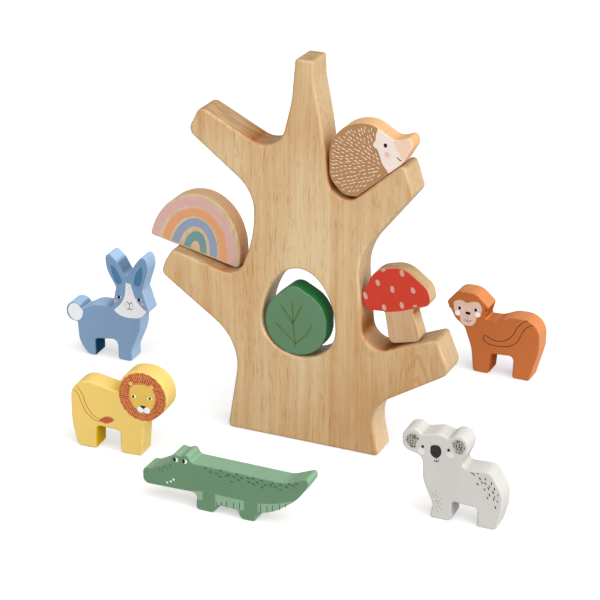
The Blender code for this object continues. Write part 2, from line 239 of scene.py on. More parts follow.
@dataclass(frozen=True)
class Place:
    """Where a block's own frame sits: its foot in millimetres, its lean to the left and its turn, in degrees."""

    at: Triple = (0.0, 0.0, 0.0)
    lean: float = 0.0
    turn: float = 0.0

    @property
    def facing(self) -> Euler:
        """The turn of the block's own frame."""
        return Euler((0, -math.radians(self.lean), math.radians(self.turn)))

    @property
    def foot(self) -> Vector:
        """Where the block's own origin is, in metres."""
        return Vector(self.at) * MM

    @property
    def matrix(self) -> Matrix:
        """From the block's own frame to the whole set's."""
        return Matrix.Translation(self.foot) @ self.facing.to_matrix().to_4x4()


# Finishes


def toward_white(colour: Colour, share: float) -> Colour:
    """A colour taken a share of the way to white."""
    return tuple(value + (255 - value) * share for value in colour)


def linear(colour: Iterable[float]) -> Shade:
    """A colour from 0 to 255 a channel, by the sRGB curve, as the linear values that a shader takes."""
    shares = [value / 255 for value in colour]
    return (*[v / 12.92 if v <= 0.04045 else ((v + 0.055) / 1.055) ** 2.4 for v in shares], 1.0)


@dataclass(frozen=True)
class Noise:
    """A layer of noise: its grains to the metre each way, its detail and its roughness."""

    stretch: Triple
    detail: float = 2.0
    roughness: float = 0.5


@dataclass(frozen=True)
class Ramp:
    """A smooth step: where it starts and ends, and what it gives there."""

    low: float
    high: float
    at_low: float = 0.0
    at_high: float = 1.0


# Painted shade: how the gloss fades out in the crooks, darkening their reflections
CROOK_SHADE_GLOSS = Ramp(0.1, 0.7, 0.16, 0.0)


class Graph:
    """Adds nodes to a tree and joins them."""

    def __init__(self, tree: bpy.types.NodeTree) -> None:
        """Keep the tree."""
        self.tree = tree

    def add(self, kind: str, inputs: dict[Any, Any] | None = None, **settings: Any) -> bpy.types.Node:
        """Add a node.

        Args:
            kind: The node's type.
            inputs: Values, or sockets of other nodes, by the input's name or number.
            settings: The node's own settings.

        Returns:
            The node.
        """
        node = self.tree.nodes.new(kind)
        for key, value in settings.items():
            setattr(node, key, value)
        for key, value in (inputs or {}).items():
            if isinstance(value, Socket):
                self.tree.links.new(value, node.inputs[key])
            else:
                node.inputs[key].default_value = value
        return node

    def math(self, operation: str, *values: Any) -> Socket:
        """The result of a Math node."""
        return self.add("ShaderNodeMath", dict(enumerate(values)), operation=operation).outputs[0]

    def ramp(self, value: Socket, ramp: Ramp) -> Socket:
        """A value taken smoothly from one range to another and kept there."""
        inputs = {0: value, 1: ramp.low, 2: ramp.high, 3: ramp.at_low, 4: ramp.at_high}
        return self.add("ShaderNodeMapRange", inputs, interpolation_type="SMOOTHSTEP").outputs[0]

    def swing(self, noise: Socket, at_low: float, at_high: float) -> Socket:
        """A noise's usual range taken to another."""
        return self.ramp(noise, Ramp(*USUAL, at_low, at_high))

    def mix(self, share: Any, first: Any, second: Any, blend: str = "MIX") -> Socket:
        """The result of a colour Mix node."""
        inputs = {0: share, 6: first, 7: second}
        return self.add("ShaderNodeMix", inputs, data_type="RGBA", blend_type=blend).outputs[2]

    def tinted(self, colour: Any, tint: Any) -> Socket:
        """A colour times another."""
        return self.mix(1.0, colour, tint, "MULTIPLY")

    def shaded(self, colour: Any, shade: Socket) -> Socket:
        """A colour with its three channels times the same value."""
        return self.tinted(colour, self.add("ShaderNodeCombineColor", {0: shade, 1: shade, 2: shade}).outputs[0])

    def noise(self, where: Socket, noise: Noise) -> Socket:
        """A layer of noise.

        Args:
            where: The place that it is read at, in metres.
            noise: The layer.

        Returns:
            The noise, about 0.5 in the middle.
        """
        scaled = self.add("ShaderNodeVectorMath", {0: where, 1: noise.stretch}, operation="MULTIPLY").outputs[0]
        inputs = {"Vector": scaled, "Scale": 1.0, "Detail": noise.detail, "Roughness": noise.roughness}
        return self.add("ShaderNodeTexNoise", inputs).outputs[0]

    def split(self, vector: Socket) -> Sequence[Socket]:
        """The three parts of a vector."""
        return self.add("ShaderNodeSeparateXYZ", {0: vector}).outputs

    def vector(self, *parts: Any) -> Socket:
        """A vector from its three parts."""
        return self.add("ShaderNodeCombineXYZ", dict(enumerate(parts))).outputs[0]

    def read(self, name: str) -> Socket:
        """A value that the board carries at each of its points."""
        return self.add("ShaderNodeAttribute", attribute_name=name).outputs["Fac"]

    def facing_up(self) -> Socket:
        """How far the surface faces up, from -1 to 1."""
        return self.split(self.add("ShaderNodeNewGeometry").outputs["Normal"])[2]


@dataclass(frozen=True)
class Finish:
    """What every finish has: a name, and a surface of its own."""

    relief: ClassVar[float] = 0.05
    name: str

    def material(self, place: Place) -> bpy.types.Material:
        """The finish as a material, with its gloss faded out in the crooks as painted shade on their reflections.

        Args:
            place: Where the block that wears it sits.

        Returns:
            The material.
        """
        material = bpy.data.materials.new(self.name)
        material.use_nodes = True
        graph = Graph(material.node_tree)
        shader = material.node_tree.nodes["Principled BSDF"]
        where = graph.add("ShaderNodeTexCoord").outputs["Object"]
        inputs = {"Vector": where, "Location": place.foot, "Rotation": place.facing}
        own = graph.add("ShaderNodeMapping", inputs, vector_type="TEXTURE").outputs[0]
        colour, roughness, height = self.surface(graph, own)
        bump = graph.add("ShaderNodeBump", {"Height": height, "Strength": self.relief, "Distance": RELIEF}).outputs[0]
        # Painted shade: the gloss fades out in the crooks, so their reflections darken
        gloss = graph.ramp(graph.read("crook"), CROOK_SHADE_GLOSS)
        for value, key in ((colour, "Base Color"), (roughness, "Roughness"), (bump, "Normal"),
                           (gloss, "Specular IOR Level")):
            graph.tree.links.new(value, shader.inputs[key])
        return material

    def surface(self, graph: Graph, own: Socket) -> tuple[Socket, Socket, Socket]:
        """The surface's colour, roughness and relief."""
        raise NotImplementedError


@dataclass(frozen=True)
class Wood(Finish):
    """Sanded pale hardwood under a thin clear coat, with its grain upright in the block's own frame."""

    relief: ClassVar[float] = 0.1
    pale: Colour = (197, 173, 135)
    tan: Colour = (179, 139, 94)
    fleck: Colour = (158, 110, 60)
    joints: tuple[Pair, ...] = ()
    flame: tuple[float, float, float, float] | None = None
    drift: float = 0.0
    crown: float = 0.0
    # How much paler the low sides are: painted light from the floor
    foot: float = 1.0
    end: float = 0.86
    side: Colour = (1.0, 1.0, 1.0)
    seed: float = 0.0
    cloud: Noise = Noise((24, 24, 11), 3)
    band: Noise = Noise((120, 420, 3.2), 3, 0.55)
    streak: Noise = Noise((430, 600, 13), 3, 0.6)
    fibre: Noise = Noise((950, 950, 40), 3, 0.6)
    swings: Triple = (0.25, 0.22, 0.15)
    fibre_shade: Ramp = Ramp(0.28, 0.74, 1.03, 0.96)
    roughness: Pair = (0.46, 0.56)
    sways: tuple[tuple[Noise, float], ...] = ((Noise((8, 8, 5), 1), 0.014), (Noise((70, 70, 30), 1), 0.0011))
    stave_gap: float = 0.37
    drift_top: float = 0.13
    drift_above: float = -0.3
    crown_rise: Pair = (0.18, 0.225)
    flame_ripple: Noise = Noise((70, 70, 30), 3)
    flame_bend: float = 1.1
    flame_lines: float = 15.0
    flame_depth: Ramp = Ramp(0.0, 1.0, 0.0, 0.5)
    flame_fade: Ramp = Ramp(0.6, 1.5, 1.0, 0.0)
    short_pore: Noise = Noise((900, 900, 120))
    short_share: Ramp = Ramp(0.57, 0.69, 0.0, 0.5)
    long_pore: Noise = Noise((860, 860, 52), 1)
    long_share: Ramp = Ramp(0.62, 0.72, 0.0, 0.6)
    pore_bands: Ramp = Ramp(0.36, 0.6, 0.4, 1.0)
    pore_depth: float = 0.8
    side_tone: Pair = (0.35, 0.36)
    # Painted floor light on the low sides: where it fades out, and its tint
    floor_light_fade: Ramp = Ramp(0.03, 0.075, 1.0, 0.0)
    floor_light_tint: Colour = (1.0, 1.08, 1.2)
    end_figure: Noise = Noise((70, 480, 40), 3, 0.6)
    end_patches: Ramp = Ramp(0.35, 0.65, 0.3, 1.0)
    end_facing: Ramp = Ramp(0.35, 1.0, 0.0, 0.95)
    # Painted shade in the crooks: a darker tint, and a darker one still deep in them
    crook_shade_tint: Colour = (0.92, 0.52, 0.32)
    deep_shade_tint: Colour = (0.52, 0.3, 0.17)
    deep_shade_from: Ramp = Ramp(0.5, 1.0)
    rub: Noise = Noise((300, 300, 60), 3)
    rub_patches: Ramp = Ramp(0.45, 0.7, 0.0, 0.18)
    rub_white: float = 0.3

    def surface(self, graph: Graph, own: Socket) -> tuple[Socket, Socket, Socket]:
        """The wood's surface.

        Args:
            graph: The material's graph.
            own: Where a point is in the block's own frame.

        Returns:
            Its colour, roughness and relief.
        """
        stave, tone = self.staves(graph, own)
        band, streak, fibre = (graph.noise(stave, layer) for layer in (self.band, self.streak, self.fibre))
        for layer, swing in zip((graph.noise(own, self.cloud), band, streak), self.swings):
            tone = graph.math("ADD", tone, graph.swing(layer, -swing, swing))
        if self.flame:
            tone = graph.math("ADD", tone, self.flames(graph, own))
        least, plain = self.side_tone
        ahead = graph.ramp(graph.read("front"), Ramp(*FACE, least, 1.0))
        tone = graph.add("ShaderNodeMix", {0: ahead, 2: plain, 3: tone}).outputs[0]
        colour = graph.mix(tone, linear(self.pale), linear(self.tan))
        colour = graph.shaded(colour, graph.ramp(fibre, self.fibre_shade))
        pores = self.pores(graph, stave, band)
        colour = self.edges(graph, own, graph.mix(pores, colour, linear(self.fleck)))
        height = graph.math("SUBTRACT", fibre, graph.math("MULTIPLY", pores, self.pore_depth))
        return colour, graph.swing(fibre, *self.roughness), height

    def staves(self, graph: Graph, own: Socket) -> tuple[Socket, Socket]:
        """The glued-up staves.

        Args:
            graph: The material's graph.
            own: Where a point is in the block's own frame.

        Returns:
            Where a point is in its own stave, with its grain swaying a little, and how dark the stave is.
        """
        along, depth, up = graph.split(own)
        number: Any = self.seed
        tone: Any = 0.5
        for joint, change in self.joints:
            past = graph.math("GREATER_THAN", along, joint * MM)
            number = graph.math("ADD", number, past)
            tone = graph.math("ADD", tone, graph.math("MULTIPLY", past, change))
        for layer, reach in self.sways:
            sway = graph.math("SUBTRACT", graph.noise(own, layer), 0.5)
            along = graph.math("ADD", along, graph.math("MULTIPLY", sway, reach))
        far = graph.math("MULTIPLY", number, self.stave_gap)
        stave = graph.vector(*(graph.math("ADD", value, far) for value in (along, depth, up)))
        drift = Ramp(0.0, self.drift_top, self.drift, self.drift_above * self.drift)
        tone = graph.math("ADD", tone, graph.ramp(up, drift))
        return stave, graph.math("ADD", tone, graph.ramp(up, Ramp(*self.crown_rise, 0.0, self.crown)))

    def flames(self, graph: Graph, own: Socket) -> Socket:
        """The pointed growth lines of a flat-sawn place.

        Args:
            graph: The material's graph.
            own: Where a point is in the block's own frame.

        Returns:
            How much darker each point is for them.
        """
        along, up, wide, tall = (value * MM for value in self.flame)
        inputs = {"Vector": own, "Location": (along, 0, up), "Scale": (wide, 1.0, tall)}
        near = graph.split(graph.add("ShaderNodeMapping", inputs, vector_type="TEXTURE").outputs[0])
        flat = graph.vector(near[0], 0.0, near[2])
        far = graph.add("ShaderNodeVectorMath", {0: flat}, operation="LENGTH").outputs["Value"]
        ripple = graph.math("MULTIPLY", graph.noise(own, self.flame_ripple), self.flame_bend)
        line = graph.math("SINE", graph.math("MULTIPLY", graph.math("ADD", far, ripple), self.flame_lines))
        return graph.math("MULTIPLY", graph.ramp(line, self.flame_depth), graph.ramp(far, self.flame_fade))

    def pores(self, graph: Graph, stave: Socket, band: Socket) -> Socket:
        """The short open pores, thicker in some bands than in others.

        Args:
            graph: The material's graph.
            stave: Where a point is in its own stave.
            band: The broad bands of the grain.

        Returns:
            How much of a pore each point shows.
        """
        short = graph.ramp(graph.noise(stave, self.short_pore), self.short_share)
        long = graph.ramp(graph.noise(stave, self.long_pore), self.long_share)
        return graph.math("MULTIPLY", graph.math("MAXIMUM", short, long), graph.ramp(band, self.pore_bands))

    def edges(self, graph: Graph, own: Socket, colour: Socket) -> Socket:
        """The sides' tone, painted floor light at the foot, the end grain, painted shade in the crooks, and rim wear.

        Args:
            graph: The material's graph.
            own: Where a point is in the block's own frame.
            colour: The colour so far.

        Returns:
            The colour with them.
        """
        face = graph.read("front")
        colour = graph.tinted(colour, graph.mix(graph.ramp(face, Ramp(*FACE)), (*self.side, 1.0), PLAIN))
        # Painted light: the sides are paler near the floor, as if lit from it
        low = graph.ramp(graph.split(own)[2], self.floor_light_fade)
        low = graph.math("MULTIPLY", low, graph.ramp(face, Ramp(*FACE, 1.0, 0.0)))
        painted_floor_light = (*[self.foot * share for share in self.floor_light_tint], 1.0)
        colour = graph.tinted(colour, graph.mix(low, PLAIN, painted_floor_light))
        figure = graph.ramp(graph.noise(own, self.end_figure), self.end_patches)
        cut = graph.ramp(graph.math("ABSOLUTE", graph.facing_up()), self.end_facing)
        colour = graph.mix(graph.math("MULTIPLY", cut, figure), colour,
                           linear(min(255, value * self.end) for value in self.tan))
        # Painted shade: the wood darkens in the crooks, where shade falls
        crook = graph.read("crook")
        painted_crook_shade = graph.mix(crook, PLAIN, (*self.crook_shade_tint, 1.0))
        painted_crook_shade = graph.mix(graph.ramp(crook, self.deep_shade_from), painted_crook_shade, (*self.deep_shade_tint, 1.0))
        rubbed = graph.ramp(graph.noise(own, self.rub), self.rub_patches)
        return graph.mix(graph.math("MULTIPLY", graph.read("rim"), rubbed), graph.tinted(colour, painted_crook_shade),
                         linear(toward_white(self.pale, self.rub_white)))


@dataclass(frozen=True)
class Paint(Finish):
    """Satin paint over sanded wood: one tone on the front and one on the sides and back."""

    front: Colour = (128, 128, 128)
    # The side tone is the paint of the sides and back; on the animals it is set lighter than the front's, partly as
    # painted light for the brighter sides and tops
    side: Colour = (128, 128, 128)
    roughness: float = 0.55
    # Painted shade in the crooks: the tint that darkens them
    crook_shade: Colour = (0.5, 0.5, 0.5)
    uneven: float = 0.05
    front_from: Ramp = Ramp(0.15, 0.9)
    cloud: Noise = Noise((60, 60, 34), 3)
    cloud_shade: Ramp = Ramp(0.25, 0.75, 0.965, 1.015)
    grain: Noise = Noise((1300, 1300, 45))
    grain_swing: float = 0.006
    # Where the painted crook shade starts, and how it lessens on faces that look up
    crook_shade_from: Ramp = Ramp(0.05, 0.8)
    crook_shade_facing: Ramp = Ramp(0.0, 0.8, 1.0, 0.45)
    rub: Noise = Noise((420, 420, 420), 3)
    rub_patches: Ramp = Ramp(0.5, 0.72)
    rub_white: float = 0.45
    wear: float = 0.25

    def surface(self, graph: Graph, own: Socket) -> tuple[Socket, Socket, Socket]:
        """The paint's surface.

        Args:
            graph: The material's graph.
            own: Where a point is in the block's own frame.

        Returns:
            Its colour, roughness and relief.
        """
        colour = graph.mix(graph.ramp(graph.read("front"), self.front_from), linear(self.side), linear(self.front))
        cloud, grain = graph.noise(own, self.cloud), graph.noise(own, self.grain)
        brushed = graph.swing(grain, -self.grain_swing, self.grain_swing)
        colour = graph.shaded(colour, graph.math("ADD", graph.ramp(cloud, self.cloud_shade), brushed))
        # Painted shade: darker in the crooks, less on faces that look up
        share = graph.math("MULTIPLY", graph.ramp(graph.read("crook"), self.crook_shade_from),
                           graph.ramp(graph.facing_up(), self.crook_shade_facing))
        colour = graph.tinted(colour, graph.mix(share, PLAIN, (*self.crook_shade, 1.0)))
        rubbed = graph.math("MULTIPLY", graph.read("rim"), graph.ramp(graph.noise(own, self.rub), self.rub_patches))
        colour = graph.mix(graph.math("MULTIPLY", rubbed, self.wear), colour,
                           linear(toward_white(self.side, self.rub_white)))
        return colour, graph.swing(cloud, self.roughness - self.uneven, self.roughness + self.uneven), grain


@dataclass(frozen=True)
class Ink(Finish):
    """Printed ink, matt and very slightly uneven."""

    relief: ClassVar[float] = 0.03
    colour: Colour = (40, 40, 40)
    patchy: float = 0.04
    cloud: Noise = Noise((240, 240, 150), 3)
    cloud_range: Pair = (0.25, 0.75)
    roughness: Pair = (0.42, 0.54)

    def surface(self, graph: Graph, own: Socket) -> tuple[Socket, Socket, Socket]:
        """The ink's surface.

        Args:
            graph: The material's graph.
            own: Where a point is in the block's own frame.

        Returns:
            Its colour, roughness and relief.
        """
        cloud = graph.noise(own, self.cloud)
        tone = graph.ramp(cloud, Ramp(*self.cloud_range, 1 - self.patchy, 1 + self.patchy / 2))
        return graph.shaded(linear(self.colour), tone), graph.swing(cloud, *self.roughness), cloud


# Repeated marks, printed lines and stripes, as node trees


class NodeShape(Enum):
    """The node trees that make printed things."""

    MARKS = "printed_marks"
    LINES = "printed_lines"
    STRIPE = "arched_stripe"


class ShapeGraph(Graph):
    """A geometry node tree with named inputs, which puts what it makes in a block's place."""

    def __init__(self, kind: NodeShape, **inputs: str) -> None:
        """Make the tree.

        Args:
            kind: Which tree.
            inputs: Each input's name, with a low line for a blank, and its kind of socket.
        """
        super().__init__(bpy.data.node_groups.new(kind.value, "GeometryNodeTree"))
        common = {"Place": "Vector", "Facing": "Rotation", "Material": "Material"}
        self.tree.interface.new_socket("Geometry", in_out="OUTPUT", socket_type="NodeSocketGeometry")
        for name, socket in {"Geometry": "Geometry", **inputs, **common}.items():
            self.tree.interface.new_socket(name.replace("_", " "), in_out="INPUT", socket_type="NodeSocket" + socket)
        self.given = {socket.name: socket for socket in self.add("NodeGroupInput").outputs if socket.name}

    def geometry(self, kind: str, inputs: dict[Any, Any] | None = None, **settings: Any) -> Socket:
        """What a node gives out first."""
        return self.add(kind, inputs, **settings).outputs[0]

    def stored(self, name: str) -> Socket:
        """A value that each point carries."""
        return self.geometry("GeometryNodeInputNamedAttribute", {"Name": name}, data_type="FLOAT")

    def chance(self, seed: Any) -> Socket:
        """A number by chance from -1 to 1 for each point."""
        inputs = {2: -1.0, 3: 1.0, "Seed": seed}
        return self.add("FunctionNodeRandomValue", inputs, data_type="FLOAT").outputs[1]

    def moved(self, geometry: Socket, *parts: Any) -> Socket:
        """Geometry with its points put elsewhere."""
        return self.geometry("GeometryNodeSetPosition", {0: geometry, "Position": self.vector(*parts)})

    def close(self, made: Socket) -> bpy.types.NodeTree:
        """Put what was made in its place, realise it, give it its material and send it out.

        Args:
            made: What was made, in the block's own frame.

        Returns:
            The finished tree.
        """
        put = {0: made, "Translation": self.given["Place"], "Rotation": self.given["Facing"]}
        real = self.geometry("GeometryNodeRealizeInstances", {0: self.geometry("GeometryNodeTransform", put)})
        flat = self.geometry("GeometryNodeSetShadeSmooth", {0: real, 2: False})
        dressed = self.geometry("GeometryNodeSetMaterial", {0: flat, "Material": self.given["Material"]})
        self.add("NodeGroupOutput", {0: dressed})
        return self.tree


def marks_shape() -> bpy.types.NodeTree:
    """A thin rounded mark at each point, as long, as wide and as turned as the point says, with a little chance.

    Returns:
        The tree.
    """
    graph = ShapeGraph(NodeShape.MARKS, Sides="Int", Ink_Depth="Float", Roundness="Float", Turn_Chance="Float",
                       Size_Chance="Float", Seed="Int")
    given = graph.given
    size = {"Vertices": given["Sides"], "Radius": 1.0, "Depth": given["Ink Depth"]}
    disc = graph.geometry("GeometryNodeMeshCylinder", size, fill_type="NGON")
    here = graph.split(graph.geometry("GeometryNodeInputPosition"))
    shaped = []
    for part in here[:2]:
        size = graph.math("POWER", graph.math("ABSOLUTE", part), given["Roundness"])
        shaped.append(graph.math("MULTIPLY", graph.math("SIGN", part), size))
    mark = graph.moved(disc, *shaped, here[2])
    upright = graph.geometry("GeometryNodeTransform", {0: mark, "Rotation": Euler((math.pi / 2, 0, 0))})
    sway, swell = graph.chance(given["Seed"]), graph.chance(graph.math("ADD", given["Seed"], SECOND_SEED))
    angle = graph.math("ADD", graph.stored("turn"), graph.math("MULTIPLY", sway, given["Turn Chance"]))
    spin = graph.vector(0.0, graph.math("MULTIPLY", angle, -1.0), 0.0)
    grown = graph.math("ADD", 1.0, graph.math("MULTIPLY", swell, given["Size Chance"]))
    half = graph.math("MULTIPLY", grown, 0.5)
    scale = graph.vector(graph.math("MULTIPLY", graph.stored("long"), half), 1.0,
                         graph.math("MULTIPLY", graph.stored("wide"), half))
    return graph.close(graph.geometry("GeometryNodeInstanceOnPoints", {
        "Points": given["Geometry"], "Instance": upright, "Scale": scale,
        "Rotation": graph.add("FunctionNodeEulerToRotation", {0: spin}).outputs[0]}))


def lines_shape() -> bpy.types.NodeTree:
    """A flat line of ink along each chain of edges, as wide as its points say.

    Returns:
        The tree.
    """
    graph = ShapeGraph(NodeShape.LINES, Front="Float", Ink_Depth="Float")
    front = graph.given["Front"]
    curve = graph.geometry("GeometryNodeMeshToCurve", {0: graph.given["Geometry"]})
    section = graph.geometry("GeometryNodeCurvePrimitiveQuadrilateral", {"Width": 2.0, "Height": 2.0})
    size = {"Curve": curve, "Profile Curve": section, "Scale": graph.stored("wide"), "Fill Caps": True}
    tube = graph.geometry("GeometryNodeCurveToMesh", size)
    along, depth, up = graph.split(graph.geometry("GeometryNodeInputPosition"))
    side = graph.math("SIGN", graph.math("SUBTRACT", depth, front))
    off = graph.math("MULTIPLY", side, graph.given["Ink Depth"])
    return graph.close(graph.moved(tube, along, graph.math("ADD", front, off), up))


def stripe_shape() -> bpy.types.NodeTree:
    """One stripe of the rainbow: a band between two half ovals, standing on the foot line.

    Returns:
        The tree.
    """
    graph = ShapeGraph(NodeShape.STRIPE, Middle="Float", Outer_Size="Vector", Inner_Size="Vector", Foot="Float",
                       Front="Float", Ink_Depth="Float", Steps="Int")
    given = graph.given
    size = {"Size X": 1.0, "Size Y": 1.0, "Vertices X": given["Steps"], "Vertices Y": 2}
    grid = graph.geometry("GeometryNodeMeshGrid", size)
    here = graph.split(graph.geometry("GeometryNodeInputPosition"))
    angle = graph.math("MULTIPLY", graph.math("SUBTRACT", 0.5, here[0]), math.pi)
    across = graph.math("ADD", here[1], 0.5)
    reach = graph.split(graph.add("ShaderNodeMix", {"Factor": across, 4: given["Inner Size"], 5: given["Outer Size"]},
                                  data_type="VECTOR").outputs[1])
    along = graph.math("MULTIPLY", reach[0], graph.math("COSINE", angle))
    up = graph.math("MAXIMUM", graph.math("MULTIPLY", reach[2], graph.math("SINE", angle)), given["Foot"])
    band = graph.moved(grid, graph.math("ADD", along, given["Middle"]), given["Front"], up)
    inputs = {0: band, "Offset": graph.vector(0.0, given["Ink Depth"], 0.0), "Offset Scale": 1.0, "Individual": False}
    raised = graph.geometry("GeometryNodeExtrudeMesh", inputs)
    both = graph.add("GeometryNodeJoinGeometry", {0: raised})
    graph.tree.links.new(graph.geometry("GeometryNodeFlipFaces", {0: band}), both.inputs[0])
    return graph.close(graph.geometry("GeometryNodeMergeByDistance", {0: both.outputs[0], "Distance": SAME_POINT}))


SHAPES = {NodeShape.MARKS: marks_shape, NodeShape.LINES: lines_shape, NodeShape.STRIPE: stripe_shape}


# Meshes and pieces


def in_scene(name: str, data: bpy.types.ID) -> bpy.types.Object:
    """A new object in the scene.

    Args:
        name: Its name.
        data: Its mesh, lamp or camera.

    Returns:
        The object.
    """
    item = bpy.data.objects.new(name, data)
    bpy.context.scene.collection.objects.link(item)
    return item


def settled(item: bpy.types.Object) -> bpy.types.Mesh:
    """What an object's modifiers make of it, as a plain mesh. The object itself goes.

    Args:
        item: The object.

    Returns:
        The mesh.
    """
    bpy.context.view_layer.update()
    made = bpy.data.meshes.new_from_object(item.evaluated_get(bpy.context.evaluated_depsgraph_get()))
    item.modifiers.clear()
    bpy.data.objects.remove(item)
    return made


def through_nodes(kind: NodeShape, name: str, mesh: bpy.types.Mesh, values: dict[str, Any]) -> bpy.types.Mesh:
    """Run a mesh through one of the node trees.

    Args:
        kind: Which tree.
        name: The result's name.
        mesh: What goes in.
        values: The tree's inputs by name.

    Returns:
        The result as a plain mesh.
    """
    tree = bpy.data.node_groups.get(kind.value) or SHAPES[kind]()
    item = in_scene(name + "_maker", mesh)
    modifier = item.modifiers.new(kind.value, "NODES")
    modifier.node_group = tree
    for socket in tree.interface.items_tree:
        if socket.in_out == "INPUT" and socket.name in values:
            modifier[socket.identifier] = values[socket.name]
    made = settled(item)
    made.name = name
    return made


def meshed(shape: bmesh.types.BMesh, name: str) -> bpy.types.Mesh:
    """A mesh with its faces turned outwards, from a shape that is then used up.

    Args:
        shape: The shape.
        name: The mesh's name.

    Returns:
        The mesh.
    """
    bmesh.ops.recalc_face_normals(shape, faces=shape.faces[:])
    mesh = bpy.data.meshes.new(name)
    shape.to_mesh(mesh)
    shape.free()
    return mesh


def store(mesh: bpy.types.Mesh, **values: Sequence[float]) -> None:
    """Keep a value for each of a mesh's points under each name."""
    for key, each in values.items():
        mesh.attributes.new(key, "FLOAT", "POINT").data.foreach_set("value", np.array(each, np.float32))


def wall(shape: bmesh.types.BMesh, loops: Sequence[Sequence[bmesh.types.BMVert]]) -> None:
    """Join each ring of points to the next with faces.

    Args:
        shape: The shape that they are in.
        loops: The rings, each with as many points.
    """
    for near, far in zip(loops, loops[1:]):
        for step in range(len(near)):
            shape.faces.new((near[step], near[step - 1], far[step - 1], far[step]))


def slab(name: str, rings: Iterable[tuple[np.ndarray, float]]) -> bpy.types.Mesh:
    """A closed slab.

    Args:
        name: The mesh's name.
        rings: Its rings from front to back, each with its outline and its depth.

    Returns:
        The slab.
    """
    shape = bmesh.new()
    loops = [[shape.verts.new((x, depth, z)) for x, z in loop] for loop, depth in rings]
    for end in (loops[0], loops[-1]):
        shape.faces.new(end)
    wall(shape, loops)
    return meshed(shape, name)


def show(name: str, mesh: bpy.types.Mesh, body: str) -> bpy.types.Object:
    """A piece in the scene that rides on a body.

    Args:
        name: The piece's name.
        mesh: Its mesh.
        body: The body's name.

    Returns:
        The piece.
    """
    item = in_scene(name, mesh)
    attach(item, body)
    LOG.info("%s: %d faces", name, len(mesh.polygons))
    return item


# A block and what is printed on it


@dataclass(frozen=True)
class Stamp:
    """How printed marks are shaped, and how far chance may turn and size each one."""

    roundness: float = 1.0
    sides: int = 24
    turn: float = 0.0
    size: float = 0.0
    seed: int = 1


OVAL = Stamp()


